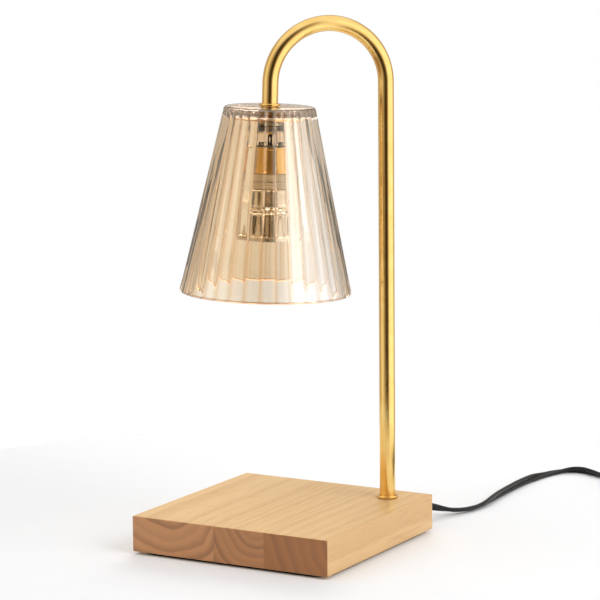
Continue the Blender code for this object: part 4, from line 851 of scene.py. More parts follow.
# %% [markdown]
# ## The ribbed glass shade
# The shade is pressed glass: smooth inside, with thirty-four rounded ribs outside, a flat roof and a
# rim that the ribs make wavy. It has a thin lustre, a film that warms what the glass mirrors.
# The glass is one closed skin with its real wall, because a single sheet would bend no light, and the
# ribs are pressed into its outer rings by a formula. The roof, thicker than the wall, and the foot of the
# rim are tinted deeper. The rest of the colour is painted light. The grooves between the ribs are painted
# deeper and the crests paler: painted shade and painted highlight for the dark lines and bright streaks
# that the ribs make. The whole glass is also painted paler towards the right, a painted reflection of
# the bright window on that side.
# %% Amber glass
RIB_COUNT = 34


def make_amber_glass():
    made, tree, shader = new_finish(
        "amber_glass", (0.90, 0.76, 0.58), 0.03, ior=1.46, transmission_weight=1.0,
        thin_film_thickness=88.0, thin_film_ior=1.75,
    )
    place = add_node(tree, "TexCoord").outputs["Object"]
    parts = add_node(tree, "SeparateXYZ", {"Vector": place}).outputs
    # painted reflection: this share paints the glass paler towards the right, standing in for the bright
    # window it mirrors there
    pale = remap(tree, reach_along(tree, place, TO_RIGHT), -0.005, 0.040)
    waves = soft_noise(tree, place, 60.0, 2.0)
    amber = blend_colours(tree, waves, (0.95, 0.83, 0.66, 1.0), (0.93, 0.79, 0.59, 1.0))
    # the crest and groove colours, each painted paler towards the right by the painted reflection above
    crest = blend_colours(tree, pale, amber, (0.965, 0.925, 0.885, 1.0))
    groove = blend_colours(tree, pale, (0.85, 0.60, 0.36, 1.0), (0.86, 0.72, 0.60, 1.0))
    angle = maths(tree, "ARCTAN2", parts["Y"], parts["X"])
    rib_share = maths(tree, "FRACT", maths(tree, "MULTIPLY", angle, RIB_COUNT / (2 * math.pi)))
    from_crest = maths(tree, "ABSOLUTE", maths(tree, "MULTIPLY_ADD", rib_share, 2.0, -1.0))
    # painted highlight and painted shade: pale crests and deep grooves stand for the bright streaks and dark
    # lines the ribs make
    colour = blend_colours(tree, remap(tree, from_crest, 0.45, 0.97, 0.0, 0.90), crest, groove)
    colour = blend_colours(tree, remap(tree, parts["Z"], 0.1105, 0.1125), colour, (0.62, 0.46, 0.35, 1.0))
    colour = blend_colours(tree, remap(tree, parts["Z"], 0.0016, 0.0008), colour, (0.45, 0.27, 0.16, 1.0))
    bump = add_node(tree, "Bump", {"Strength": 0.10, "Distance": 0.0003, "Height": waves})
    feed(tree, shader, base_color=colour, normal=bump.outputs["Normal"])
    return made


AMBER_GLASS = make_amber_glass()
print("glass made")

# %% The shade
RIB_POINTS = 14
RIB_SHARPNESS = 3.0
RIB_HEIGHT = 0.0006
SHADE_HEIGHT = 0.1167
SHADE_TOP_RADIUS = 0.02843
SHADE_BOTTOM_RADIUS = 0.0540
SHADE_WALL = 0.0034
SHADE_SHOULDER = 0.0022
SHADE_INNER_ROUND = 0.0025
RIM_ROUND = 0.0012
SHADE_HOLE = 0.0056
SIDE_STEPS = 12


def shade_radius(height):
    """The outer radius at the crests of the ribs, at a height over the rim."""
    return SHADE_BOTTOM_RADIUS + (SHADE_TOP_RADIUS - SHADE_BOTTOM_RADIUS) * height / SHADE_HEIGHT


def shade_profile():
    """The wall as (radius, height, share of the full rib) points, from the hole outward and back."""
    top, soft, rim = SHADE_HEIGHT, SHADE_SHOULDER, RIM_ROUND
    shoulder_x = shade_radius(top - soft) - soft
    points = [(SHADE_HOLE, top, 0.0)]
    for step, (radius, height) in enumerate(arc(shoulder_x, top - soft, soft, math.pi / 2, 0.0, 8)):
        points.append((radius, height, min(1.0, (step / 8) ** 1.2 * 1.25)))
    for step in range(1, SIDE_STEPS):
        height = top - soft + (rim - top + soft) * step / SIDE_STEPS
        points.append((shade_radius(height), height, 1.0))
    for radius, height in arc(SHADE_BOTTOM_RADIUS - rim, rim, rim, 0.0, -math.pi / 2, 5):
        points.append((radius, height, 1.0 - 0.6 * (rim - height) / rim))
    inner_rim = SHADE_BOTTOM_RADIUS - SHADE_WALL + rim / 2
    for radius, height in arc(inner_rim, rim / 2, rim / 2, -math.pi / 2, -math.pi, 4):
        points.append((radius, height, 0.0))
    ceiling, inner = top - SHADE_ROOF, SHADE_INNER_ROUND
    for step in range(1, SIDE_STEPS):
        height = rim / 2 + (ceiling - inner - rim / 2) * step / SIDE_STEPS
        points.append((shade_radius(height) - SHADE_WALL, height, 0.0))
    corner_x = shade_radius(ceiling - inner) - SHADE_WALL - inner
    for radius, height in arc(corner_x, ceiling - inner, inner, 0.0, math.pi / 2, 6):
        points.append((radius, height, 0.0))
    points.append((SHADE_HOLE, ceiling, 0.0))
    return points


def make_shade():
    profile = shade_profile()

    def press(index, radius, height, angle):
        phase = angle * RIB_COUNT / (2 * math.pi) % 1.0
        hollow = abs(2 * phase - 1) ** RIB_SHARPNESS
        return radius - profile[index][2] * RIB_HEIGHT * hollow, height

    outline = [(radius, height) for radius, height, share in profile]
    return turned("glass_shade", outline, RIB_COUNT * RIB_POINTS, press=press)


SHADE_FOOT = SHADE_TOP - SHADE_HEIGHT
shade = piece(
    "glass_shade", make_shade(), AMBER_GLASS, ["shade_glass"],
    at=SHORT_END @ Matrix.Translation((0.0, 0.0, SHADE_FOOT)),
)
print("the shade has", len(shade.data.polygons), "faces")

# %% [markdown]
# ## Steel, ceramic and the bulb's mirror
# Inside the shade everything shows through the glass. The nuts and the bent strap are zinc-plated, the
# lamp holder and the foot of the bulb are an unglazed, cream ceramic, and the bulb's pressed reflector
# carries a thin mirror coat. Each has its own grain from the shared group.
# %% Finishes inside the shade
def make_metal(name, colour, dull, roughness, scale, relief):
    """A plated metal whose colour and roughness drift a little."""
    made, tree, shader = new_finish(name, colour, roughness, 1.0)
    grain = add_grain(tree, scale, relief, 0.00005)
    cloudy = remap(tree, grain["Cloud"], 0.3, 0.7)
    feed(
        tree, shader, base_color=blend_colours(tree, cloudy, (*colour, 1.0), (*dull, 1.0)),
        roughness=remap(tree, grain["Value"], 0.3, 0.7, roughness * 0.75, roughness * 1.35),
        normal=grain["Normal"],
    )
    return made


def make_ceramic():
    made, tree, shader = new_finish("cream_ceramic", (0.78, 0.68, 0.52), 0.55)
    grain = add_grain(tree, 1800.0, 0.20, 0.0001)
    warm = blend_colours(tree, grain["Cloud"], (0.82, 0.73, 0.58, 1.0), (0.68, 0.56, 0.40, 1.0))
    specks = remap(tree, grain["Value"], 0.62, 0.75, 0.0, 0.25)
    feed(
        tree, shader, base_color=blend_colours(tree, specks, warm, (0.40, 0.31, 0.22, 1.0)),
        roughness=remap(tree, grain["Value"], 0.3, 0.7, 0.45, 0.65), normal=grain["Normal"],
    )
    return made


def make_clear_glass():
    made, tree, shader = new_finish(
        "clear_glass", (0.95, 0.97, 0.97), 0.02, ior=1.46, transmission_weight=1.0,
    )
    grain = add_grain(tree, 700.0, 0.12, 0.0001)
    feed(tree, shader, normal=grain["Normal"])
    return made


ZINC_STEEL = make_metal("zinc_steel", (0.66, 0.67, 0.70), (0.50, 0.51, 0.53), 0.26, 2200.0, 0.10)
CHROME = make_metal("bright_chrome", (0.82, 0.83, 0.85), (0.72, 0.73, 0.76), 0.10, 1500.0, 0.03)
MIRROR = make_metal("mirror_coat", (0.92, 0.88, 0.80), (0.84, 0.78, 0.68), 0.09, 900.0, 0.04)
CERAMIC = make_ceramic()
CLEAR_GLASS = make_clear_glass()
print("five finishes made")

# %% [markdown]
# ## What clamps the shade
# Under the glass roof a silicone ring and a brass plate spread the load of a hexagon nut. The plate
# shows as one bright line through the ribs, so its edge is rolled to catch light. A nut's six flats
# come from a formula: each ring's radius is cut off at the distance of the nearest flat, and the two
# chamfered ends of a real nut follow from the profile.
# %% Gasket, plate and nuts
GASKET_RIM = SHADE_HOLE + 0.004
PLATE_RIM = 0.0213
PLATE_LIP = 0.0006
NUT_FLAT = TUBE_RADIUS + 0.0020
NUT_CORNER = NUT_FLAT / math.cos(math.pi / 6)
NUT_CHAMFER = 0.0006
BASE_NUT_HEIGHT = 0.0041


def make_silicone():
    made, tree, shader = new_finish("clear_silicone", (0.82, 0.82, 0.78), 0.40, transmission_weight=0.35)
    grain = add_grain(tree, 1200.0, 0.15, 0.0001)
    feed(tree, shader, normal=grain["Normal"])
    return made


def hex_nut(name, node, top, height, at):
    """A nut with six flats and chamfered ends."""
    foot, lead = top - height, NUT_CHAMFER / 2
    mouth, face = TUBE_BORE + lead, NUT_FLAT - lead / 2
    profile = [
        (mouth, top), (face, top), (NUT_CORNER, top - NUT_CHAMFER), (NUT_CORNER, foot + NUT_CHAMFER),
        (face, foot), (mouth, foot), (TUBE_BORE, foot + lead), (TUBE_BORE, top - lead),
    ]

    def flatten(index, radius, height, angle):
        off_flat = (angle + math.pi / 6) % (math.pi / 3) - math.pi / 6
        return min(radius, NUT_FLAT / math.cos(off_flat)), height

    piece(name, turned(name, profile, 72, press=flatten), ZINC_STEEL, [node], at=at)


SILICONE = make_silicone()
gasket_foot = GASKET_TOP - GASKET_THICKNESS
gasket = turned("clear_gasket", eased([
    (SHADE_HOLE, GASKET_TOP), (GASKET_RIM, GASKET_TOP), (GASKET_RIM, gasket_foot), (SHADE_HOLE, gasket_foot),
], FINE_EASE, 3), 64)
piece("clear_gasket", gasket, SILICONE, ["shade_gasket"], at=SHORT_END)
plate_foot = PLATE_TOP - PLATE_THICKNESS
plate = turned("clamp_plate", eased([
    (TUBE_BORE, PLATE_TOP - PLATE_LIP), (PLATE_RIM - 3 * PLATE_LIP, PLATE_TOP - PLATE_LIP),
    (PLATE_RIM - 2 * PLATE_LIP, PLATE_TOP), (PLATE_RIM, PLATE_TOP), (PLATE_RIM, plate_foot),
    (PLATE_RIM - 2 * PLATE_LIP, plate_foot), (PLATE_RIM - 3 * PLATE_LIP, plate_foot + PLATE_LIP / 2),
    (TUBE_BORE, plate_foot + PLATE_LIP / 2),
], SOFT_EASE, 4), 96)
piece("clamp_plate", plate, BRASS, ["shade_plate"], at=SHORT_END)
hex_nut("glass_nut", "shade_nut", SHADE_NUT_TOP, NUT_HEIGHT, SHORT_END)
hex_nut("strap_nut", "bracket_nut", BRACKET_NUT_TOP, NUT_HEIGHT, SHORT_END)
AT_POST = Matrix.Translation((POST, POST, 0.0))
hex_nut("foot_nut", "base_nut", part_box("base_nut")[1].z, BASE_NUT_HEIGHT, AT_POST)
print("the plate is", round(2000 * PLATE_RIM, 1), "mm across")

# %% [markdown]
# ## The lamp holder
# A ceramic body with a flange hangs in a bent strap, inside a thin brass sleeve with rolled ends. Its
# floor has two arc slots with a wide end, where the bulb's headed pins go in and turn. The body is
# turned and the slots are carved out by a Boolean modifier, whose result is taken as the mesh, since a
# slot that goes through a floor can't be turned.
# %% Ceramic body and brass sleeve
BRACKET_HEIGHT = 0.0131
HOLDER_TURN = math.radians(30.0)
AXIS = SHORT_END @ Matrix.Rotation(HOLDER_TURN, 4, "Z")
BRACKET_FOOT = BRACKET_TOP - BRACKET_HEIGHT
HOLDER_TOP = BRACKET_FOOT - FIT_GAP
HOLDER_RADIUS = 0.0104
HOLDER_BORE = 0.0026
FLANGE_TOP = HOLDER_TOP - 0.0166
FLANGE_FOOT = FLANGE_TOP - 0.0045
SLEEVE_INNER = HOLDER_RADIUS + 0.0004
SLEEVE_RADIUS = SLEEVE_INNER + 0.0007
FLANGE_RADIUS = SLEEVE_RADIUS + 0.0005
CHAMBER_FOOT = FLANGE_FOOT + 0.0036
CHAMBER_TOP = CHAMBER_FOOT + 0.0058
CHAMBER_RADIUS = 0.0086
FLOOR_PIN_HOLE = 0.0004
PIN_CIRCLE = 0.0050
PIN_RADIUS = 0.0015
PIN_HEAD_RADIUS = 0.0025
BULB_TWIST = math.radians(45.0)


def carved(mesh, *cutters):
    """The mesh with the shapes of the cutters taken out of it."""
    item = bpy.data.objects.new(mesh.name, mesh)
    tools = [bpy.data.objects.new(cutter.name, cutter) for cutter in cutters]
    for each in (item, *tools):
        bpy.context.scene.collection.objects.link(each)
    for tool in tools:
        cut = item.modifiers.new(tool.name, "BOOLEAN")
        cut.operation = "DIFFERENCE"
        cut.object = tool
    bpy.context.view_layer.update()
    result = bpy.data.meshes.new_from_object(item.evaluated_get(bpy.context.evaluated_depsgraph_get()))
    for each in (item, *tools):
        bpy.data.objects.remove(each, do_unlink=True)
    return result


def pillar(name, outline, low, high):
    """An upright prism over an outline of (x, y) points."""
    return skin(name, [[(x, y, z) for x, y in outline] for z in (low, high)], "capped")


def slot_outline(side):
    """One pin's way through the floor: a wide door, then a narrow arc to the locked place."""
    narrow, wide = PIN_RADIUS + FIT_GAP, PIN_HEAD_RADIUS + FIT_GAP
    release = side - BULB_TWIST
    middle = (PIN_CIRCLE * math.cos(release), PIN_CIRCLE * math.sin(release))
    lock = (PIN_CIRCLE * math.cos(side), PIN_CIRCLE * math.sin(side))
    door = arc(*middle, wide, release, release + 2 * math.pi, 32)[:-1]
    run = arc(0.0, 0.0, PIN_CIRCLE + narrow, release, side, 10)
    run += arc(*lock, narrow, side, side + math.pi, 10)[1:-1]
    run += arc(0.0, 0.0, PIN_CIRCLE - narrow, side, release, 10)
    return door, run


def make_ceramic_body():
    profile = eased([
        (HOLDER_BORE, HOLDER_TOP), (HOLDER_RADIUS, HOLDER_TOP), (HOLDER_RADIUS, FLANGE_TOP),
        (FLANGE_RADIUS, FLANGE_TOP), (FLANGE_RADIUS, FLANGE_FOOT), (FLOOR_PIN_HOLE, FLANGE_FOOT),
        (FLOOR_PIN_HOLE, CHAMBER_FOOT), (CHAMBER_RADIUS, CHAMBER_FOOT), (CHAMBER_RADIUS, CHAMBER_TOP),
        (HOLDER_BORE, CHAMBER_TOP),
    ], SOFT_EASE, 2)
    cutters = []
    for number, side in enumerate((0.0, math.pi)):
        for part, outline in enumerate(slot_outline(side)):
            reach = FIT_GAP * (1 + part)
            low, high = FLANGE_FOOT - reach, CHAMBER_FOOT + reach
            cutters.append(pillar(f"slot_{number}_{part}", outline, low, high))
    return carved(turned("ceramic_body", profile, 96), *cutters)


piece("ceramic_body", make_ceramic_body(), CERAMIC, ["ceramic_holder"], at=AXIS)
sleeve_foot = FLANGE_TOP + FIT_GAP
BEAD = 0.0005
sleeve = turned("brass_sleeve", eased([
    (SLEEVE_INNER, HOLDER_TOP), (SLEEVE_RADIUS, HOLDER_TOP), (SLEEVE_RADIUS, HOLDER_TOP - 2 * BEAD),
    (SLEEVE_RADIUS - BEAD / 2, HOLDER_TOP - 3 * BEAD), (SLEEVE_RADIUS - BEAD / 2, sleeve_foot + 3 * BEAD),
    (SLEEVE_RADIUS, sleeve_foot + 2 * BEAD), (SLEEVE_RADIUS, sleeve_foot), (SLEEVE_INNER, sleeve_foot),
], FINE_EASE, 2), 96)
piece("brass_sleeve", sleeve, BRASS, ["holder_sleeve"], at=AXIS)
print("the holder's mouth is", round(FLANGE_FOOT, 4), "m up")

# %% [markdown]
# ## The spot bulb
# The bulb is a pressed glass reflector with a mirror coat, on a small ceramic foot with two pins. Its
# neck is fluted, a ring of small dimples follows, and long facets run down to a plain rim, which holds
# the front lens. All three patterns are the same idea: a wave round the axis that draws the radius in,
# with its own count and depth at each height.
# %% Reflector, lens and capsule
BULB_TOP = FLANGE_FOOT - FIT_GAP
BULB_BASE_RADIUS = 0.0113
BULB_BASE_FOOT = BULB_TOP - 0.0045
REFLECTOR_TOP = BULB_BASE_FOOT - FIT_GAP
REFLECTOR_FOOT = REFLECTOR_TOP - 0.0320
REFLECTOR_WALL = 0.0012
NECK_RADIUS = 0.0118
NECK_FOOT = REFLECTOR_TOP - 0.0104
DIMPLE_FOOT = NECK_FOOT - 0.0050
RIM_RADIUS = 0.0175
RIM_TOP = REFLECTOR_FOOT + 0.0030
RIM_EASE = 0.0005
RIM_DEPTH = 0.0020
FLARE_RADIUS = RIM_RADIUS - 0.0018
FLARE_POWER = 0.75
STEM_HOLE = 0.0027
NECK_EASE = 0.0008
NECK_STEPS, NECK_STEP = 8, 0.0012
FLARE_STEPS, FLARE_STEP = 36, 0.0005
INSIDE_STEPS, INSIDE_STEP = 9, 0.0018
FLUTES, FLUTE_DEPTH, FLUTE_FADE = 16, 0.0007, 0.002
DIMPLES, DIMPLE_DEPTH = 24, 0.0009
FACETS, FACET_DEPTH, FACET_POINTS = 24, 0.0007, 12
PATTERN_FADE = 0.001


def flare_radius(height):
    """The reflector's outer radius between its neck and its rim."""
    share = (NECK_FOOT - height) / (NECK_FOOT - RIM_TOP)
    return NECK_RADIUS + (FLARE_RADIUS - NECK_RADIUS) * share ** FLARE_POWER


def make_reflector():
    outside = [(STEM_HOLE, REFLECTOR_TOP), (NECK_RADIUS - NECK_EASE, REFLECTOR_TOP)]
    outside += [(NECK_RADIUS, REFLECTOR_TOP - NECK_EASE - NECK_STEP * step) for step in range(NECK_STEPS)]
    levels = [NECK_FOOT - FLARE_STEP * step for step in range(FLARE_STEPS)]
    outside += [(flare_radius(level), level) for level in levels]
    outside.append((FLARE_RADIUS, RIM_TOP))
    inner_rim = RIM_RADIUS - REFLECTOR_WALL
    rim = eased([
        (FLARE_RADIUS, RIM_TOP), (RIM_RADIUS, RIM_TOP), (RIM_RADIUS, REFLECTOR_FOOT),
        (inner_rim, REFLECTOR_FOOT), (inner_rim, REFLECTOR_FOOT + RIM_DEPTH),
    ], RIM_EASE, 4, closed=False)
    levels = [NECK_FOOT - INSIDE_STEP * step for step in range(INSIDE_STEPS, -1, -1)]
    inside = [(flare_radius(level) - REFLECTOR_WALL, level) for level in levels]
    ceiling = REFLECTOR_TOP - REFLECTOR_WALL
    inside += [(NECK_RADIUS - REFLECTOR_WALL, ceiling), (STEM_HOLE, ceiling)]
    profile = outside + [tuple(point) for point in rim[1:]] + inside
    patterned = len(outside)

    def press(index, radius, height, angle):
        if index >= patterned:
            return radius, height
        if height > NECK_FOOT:
            fade = min(1.0, (REFLECTOR_TOP - height) / FLUTE_FADE, (height - NECK_FOOT) / PATTERN_FADE)
            return radius - FLUTE_DEPTH * fade * math.cos(FLUTES * angle / 2) ** 2, height
        if height > DIMPLE_FOOT:
            row = math.pi * (NECK_FOOT - height) / (NECK_FOOT - DIMPLE_FOOT)
            shift = 0.0 if row < math.pi / 2 else math.pi / 2
            dimple = abs(math.sin(2 * row) * math.sin(DIMPLES * angle / 2 + shift))
            return radius - DIMPLE_DEPTH * dimple, height
        fade = min(1.0, (DIMPLE_FOOT - height) / PATTERN_FADE, (height - RIM_TOP) / PATTERN_FADE)
        return radius - FACET_DEPTH * fade * (1 - abs(math.sin(FACETS * angle / 2))), height

    return turned("mirror_reflector", profile, FACETS * FACET_POINTS, press=press)


piece("mirror_reflector", make_reflector(), MIRROR, ["bulb_reflector"], "bulb", AXIS)
BULB_BASE_HOLE = 0.0005
GROOVE_MIDDLE = BULB_TOP - 0.0022
GROOVE_HALF, GROOVE_DEPTH = 0.0004, 0.0005
foot_profile = eased([
    (BULB_BASE_HOLE, BULB_TOP), (BULB_BASE_RADIUS, BULB_TOP), (BULB_BASE_RADIUS, GROOVE_MIDDLE + GROOVE_HALF),
    (BULB_BASE_RADIUS - GROOVE_DEPTH, GROOVE_MIDDLE), (BULB_BASE_RADIUS, GROOVE_MIDDLE - GROOVE_HALF),
    (BULB_BASE_RADIUS, BULB_BASE_FOOT), (BULB_BASE_HOLE, BULB_BASE_FOOT),
], SMALL_EASE, 3)
piece("bulb_foot", turned("bulb_foot", foot_profile, 96), CERAMIC, ["bulb_base"], "bulb", AXIS)

LENS_RADIUS = RIM_RADIUS - REFLECTOR_WALL - FIT_GAP
LENS_FOOT = REFLECTOR_FOOT + FIT_GAP
LENS_THICKNESS = 0.0014
LENS_EDGE = 0.0004
LENS_HOLE = 0.0003
LENS_RINGS, LENS_RELIEF = 12, 0.0001
lens_profile = [
    (LENS_HOLE, LENS_FOOT + LENS_THICKNESS), (LENS_RADIUS, LENS_FOOT + LENS_THICKNESS),
    (LENS_RADIUS, LENS_FOOT + LENS_EDGE),
]
for step in range(1, LENS_RINGS + 1):
    share = step / LENS_RINGS
    lens_profile.append((LENS_RADIUS * (1 - share) + LENS_HOLE * share, LENS_FOOT + LENS_RELIEF * (step % 2)))
lens = turned("front_lens", lens_profile, 96)
piece("front_lens", lens, CLEAR_GLASS, ["bulb_lens"], "bulb", AXIS)

AXIS_HOLE = 0.0002
CAPSULE_TOP = REFLECTOR_TOP - 0.0016
CAPSULE_NECK, CAPSULE_RADIUS, CAPSULE_TIP = 0.0024, 0.0043, 0.0022
CAPSULE_EASE = 0.0016
capsule_profile = eased([
    (AXIS_HOLE, CAPSULE_TOP), (CAPSULE_NECK, CAPSULE_TOP), (CAPSULE_NECK, CAPSULE_TOP - 0.0052),
    (CAPSULE_RADIUS, CAPSULE_TOP - 0.0080), (CAPSULE_RADIUS, CAPSULE_TOP - 0.0185),
    (CAPSULE_TIP, CAPSULE_TOP - 0.0218), (AXIS_HOLE, CAPSULE_TOP - 0.0222),
], CAPSULE_EASE, 5, closed=False)
capsule = turned("halogen_capsule", capsule_profile, 48, ring=False)
piece("halogen_capsule", capsule, CLEAR_GLASS, ["bulb_capsule"], "bulb", AXIS)

PIN_HEAD_HEIGHT = 0.0030
PIN_SEAT = 0.0025
head_foot, pin_foot = CHAMBER_FOOT + FIT_GAP, BULB_TOP - PIN_SEAT
pin_top = head_foot + PIN_HEAD_HEIGHT
for number, side in ((1, 1), (2, -1)):
    pin_profile = eased([
        (AXIS_HOLE, pin_top), (PIN_HEAD_RADIUS, pin_top), (PIN_HEAD_RADIUS, head_foot),
        (PIN_RADIUS, head_foot), (PIN_RADIUS, pin_foot), (AXIS_HOLE, pin_foot),
    ], SOFT_EASE, 3, closed=False)
    pin = turned(f"bulb_pin_turned_{number}", pin_profile, 40, ring=False)
    piece(pin.name, pin, CHROME, [f"bulb_pin_{number}"], "bulb",
          AXIS @ Matrix.Translation((side * PIN_CIRCLE, 0.0, 0.0)))
print("the bulb's rim is", round(2000 * RIM_RADIUS, 1), "mm across")

# %% [markdown]
# ## Screws, edges and the rest of the hardware
# Some solids have the right shape already: plates, washers, contacts and the bent strap. They keep it
# and get a finish. The larger ones get a small Bevel modifier too, since no real edge is perfectly
# sharp. The small screws, contacts and wires keep plain edges, because hardly anything of them shows.
# %% Finishes on the solids that stay
EDGE_WIDTH = 0.0002


def make_board():
    """The green lacquer of a circuit board, with paler copper tracks under it."""
    made, tree, shader = new_finish("green_board", (0.03, 0.16, 0.06), 0.30)
    place = add_node(tree, "TexCoord").outputs["Object"]
    tracks = add_node(tree, "TexVoronoi", {"Vector": place, "Scale": 420.0}, distance="MANHATTAN")
    copper = remap(tree, tracks.outputs["Distance"], 0.35, 0.40, 0.0, 0.6)
    lacquer = blend_colours(tree, copper, (0.02, 0.13, 0.05, 1.0), (0.10, 0.30, 0.10, 1.0))
    feed(tree, shader, base_color=lacquer)
    return made


def rounded_solid(node, finish, width=EDGE_WIDTH):
    """A solid that stays in view gets its finish and small round edges."""
    refinish(node, finish)
    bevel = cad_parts[node].modifiers.new("edges", "BEVEL")
    bevel.width = width
    bevel.segments = 2
    bevel.limit_method = "ANGLE"


PAD_FOAM = make_black("black_foam", (0.012, 0.012, 0.013), (0.026, 0.026, 0.028), 0.78, 900.0, 0.6, 0.0003)
GREEN_BOARD = make_board()
rounded_solid("anti_slip_pad", PAD_FOAM)
rounded_solid("pocket_cover", BLACK_PLASTIC)
rounded_solid("holder_bracket", CHROME)
rounded_solid("dimmer_board", GREEN_BOARD)
for node, coat in (
    ("base_washer", ZINC_STEEL), ("contact_1", BRASS), ("contact_2", BRASS), ("wire_live", BLACK_PLASTIC),
    ("wire_neutral", BLACK_PLASTIC), ("dimmer_pot", BLACK_PLASTIC), ("holder_screw_1", ZINC_STEEL),
    ("holder_screw_2", ZINC_STEEL), ("cover_screw_1", ZINC_STEEL), ("cover_screw_2", ZINC_STEEL),
    ("cover_screw_3", ZINC_STEEL), ("cover_screw_4", ZINC_STEEL),
):
    refinish(node, coat)
print("sixteen solids finished")

# %% [markdown]
# ## The strain relief
# Where the cord leaves the block, a tapered rubber sleeve keeps it from kinking. Five grooves let it
# bend a little more towards its tip. It is turned like the collars and then laid along the cord.
# %% Strain relief
RELIEF_TIP_RADIUS = 0.0032
RELIEF_BACK_RADIUS = 0.0048
RELIEF_NECK_RADIUS = 0.0039
RELIEF_FLANGE = 0.0015
RELIEF_GROOVES = 5
RELIEF_GROOVE_DEPTH = 0.0005


def make_relief():
    inside, tip = (corner.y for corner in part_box("cord_relief"))
    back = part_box("base_block")[1].y + FIT_GAP
    pitch = (tip - back) / (RELIEF_GROOVES + 1)
    outline = [(0.0, tip), (RELIEF_TIP_RADIUS, tip)]
    for groove in range(RELIEF_GROOVES, 0, -1):
        share = groove / (RELIEF_GROOVES + 1)
        radius = RELIEF_BACK_RADIUS + (RELIEF_TIP_RADIUS - RELIEF_BACK_RADIUS) * share
        for step, depth in ((0.24, 0.0), (0.13, 1.0), (-0.13, 1.0), (-0.24, 0.0)):
            outline.append((radius - depth * RELIEF_GROOVE_DEPTH, back + (groove + step) * pitch))
    outline += [
        (RELIEF_BACK_RADIUS, back), (RELIEF_NECK_RADIUS, back), (RELIEF_NECK_RADIUS, inside + RELIEF_FLANGE),
        (RELIEF_BACK_RADIUS, inside + RELIEF_FLANGE), (RELIEF_BACK_RADIUS, inside), (0.0, inside),
    ]
    return turned("strain_relief", eased(outline, SOFT_EASE, 3, closed=False), 48, ring=False)


ALONG_CORD = Matrix.Translation((POST, 0.0, CORD_LEVEL)) @ Matrix.Rotation(-math.pi / 2, 4, "X")
strain_relief = piece(
    "strain_relief", make_relief(), BLACK_RUBBER, ["cord_relief"], at=ALONG_CORD,
)
print("the strain relief has", RELIEF_GROOVES, "grooves")

# %% [markdown]
# ## The dimmer on the cord
# A small case in two halves, joined by a thin seam, with a thumb wheel that stands out at its side. Each
# half is a tray: one skin that runs over the outside, across the seam and down into the hollow. The slot
# for the wheel, the oval mouths for the flat cord, the wells of the screws and a small wedge, the usual
# sign for dim and bright, are carved out of the trays.
# %% Both halves of the case
DIMMER_LENGTH = 2 * DIMMER_HALF
DIMMER_WIDTH = 0.025
DIMMER_HEIGHT = 0.017
DIMMER_WALL = 0.0016
DIMMER_EDGE = 0.0018
DIMMER_CORNER = 0.0045
SEAM_EDGE = 0.0003
WHEEL_RADIUS = 0.0105
WHEEL_PROUD = 0.0025
WHEEL_THICKNESS = 0.0040
WHEEL_ROOM = 0.0006
MOUTH_HALF_WIDTH = 0.0030
MOUTH_HALF_HEIGHT = 0.0016
SCREW_PLACES = ((0.024, -0.0089), (-0.024, -0.0089))
SCREW_HEAD = 0.0020
SCREW_SHANK = 0.0011
SCREW_HEAD_TOP = 0.0015
SCREW_TIP = 0.0130
WEDGE = [(-0.0080, -0.0062), (0.0080, -0.0078), (0.0080, -0.0046)]
WEDGE_DEPTH = 0.0003
ON_DIMMER = Matrix.Translation((*DIMMER_PLACE, 0.0)) @ Matrix.Rotation(DIMMER_TURN, 4, "Z")


def rounded_rectangle(width, depth, corner, steps=6):
    """A rectangle's outline with round corners, about its middle."""
    points = []
    for side_x, side_y, quarter in ((1, 1, 0), (-1, 1, 1), (-1, -1, 2), (1, -1, 3)):
        start = quarter * math.pi / 2
        middle_x, middle_y = side_x * (width / 2 - corner), side_y * (depth / 2 - corner)
        points += arc(middle_x, middle_y, corner, start, start + math.pi / 2, steps)
    return points


def make_tray(name, upturned):
    """One half of the case, open at the seam; the upper half is the same shape turned over."""
    seam = (DIMMER_HEIGHT - FIT_GAP) / 2
    soft = arc(DIMMER_EDGE, DIMMER_EDGE, DIMMER_EDGE, 1.5 * math.pi, math.pi, 5)
    steps = soft + [(0.0, seam - SEAM_EDGE), (SEAM_EDGE, seam), (DIMMER_WALL, seam)]
    steps.append((DIMMER_WALL, DIMMER_WALL))
    rows = []
    for inset, height in steps:
        length, width = DIMMER_LENGTH - 2 * inset, DIMMER_WIDTH - 2 * inset
        outline = rounded_rectangle(length, width, DIMMER_CORNER - inset)
        level = DIMMER_HEIGHT - height if upturned else height
        rows.append([(x, y, level) for x, y in outline])
    return skin(name, rows, "capped")


def case_cutters():
    """The wheel's slot and the cord's mouths, which both halves share."""
    reach = WHEEL_PROUD + DIMMER_WALL
    slot = pillar("wheel_slot", [
        (x, DIMMER_WIDTH / 2 + y) for x, y in rounded_rectangle(2 * WHEEL_RADIUS, 2 * reach, SEAM_EDGE, 2)
    ], DIMMER_LEVEL - WHEEL_THICKNESS / 2 - WHEEL_ROOM, DIMMER_LEVEL + WHEEL_THICKNESS / 2 + WHEEL_ROOM)
    oval = rounded_rectangle(2 * MOUTH_HALF_HEIGHT, 2 * MOUTH_HALF_WIDTH, 0.95 * MOUTH_HALF_HEIGHT)
    mouths = pillar("cord_mouths", oval, -1.1 * DIMMER_HALF, 1.1 * DIMMER_HALF)
    mouths.transform(Matrix.Translation((0.0, 0.0, DIMMER_LEVEL)) @ Matrix.Rotation(math.pi / 2, 4, "Y"))
    return slot, mouths


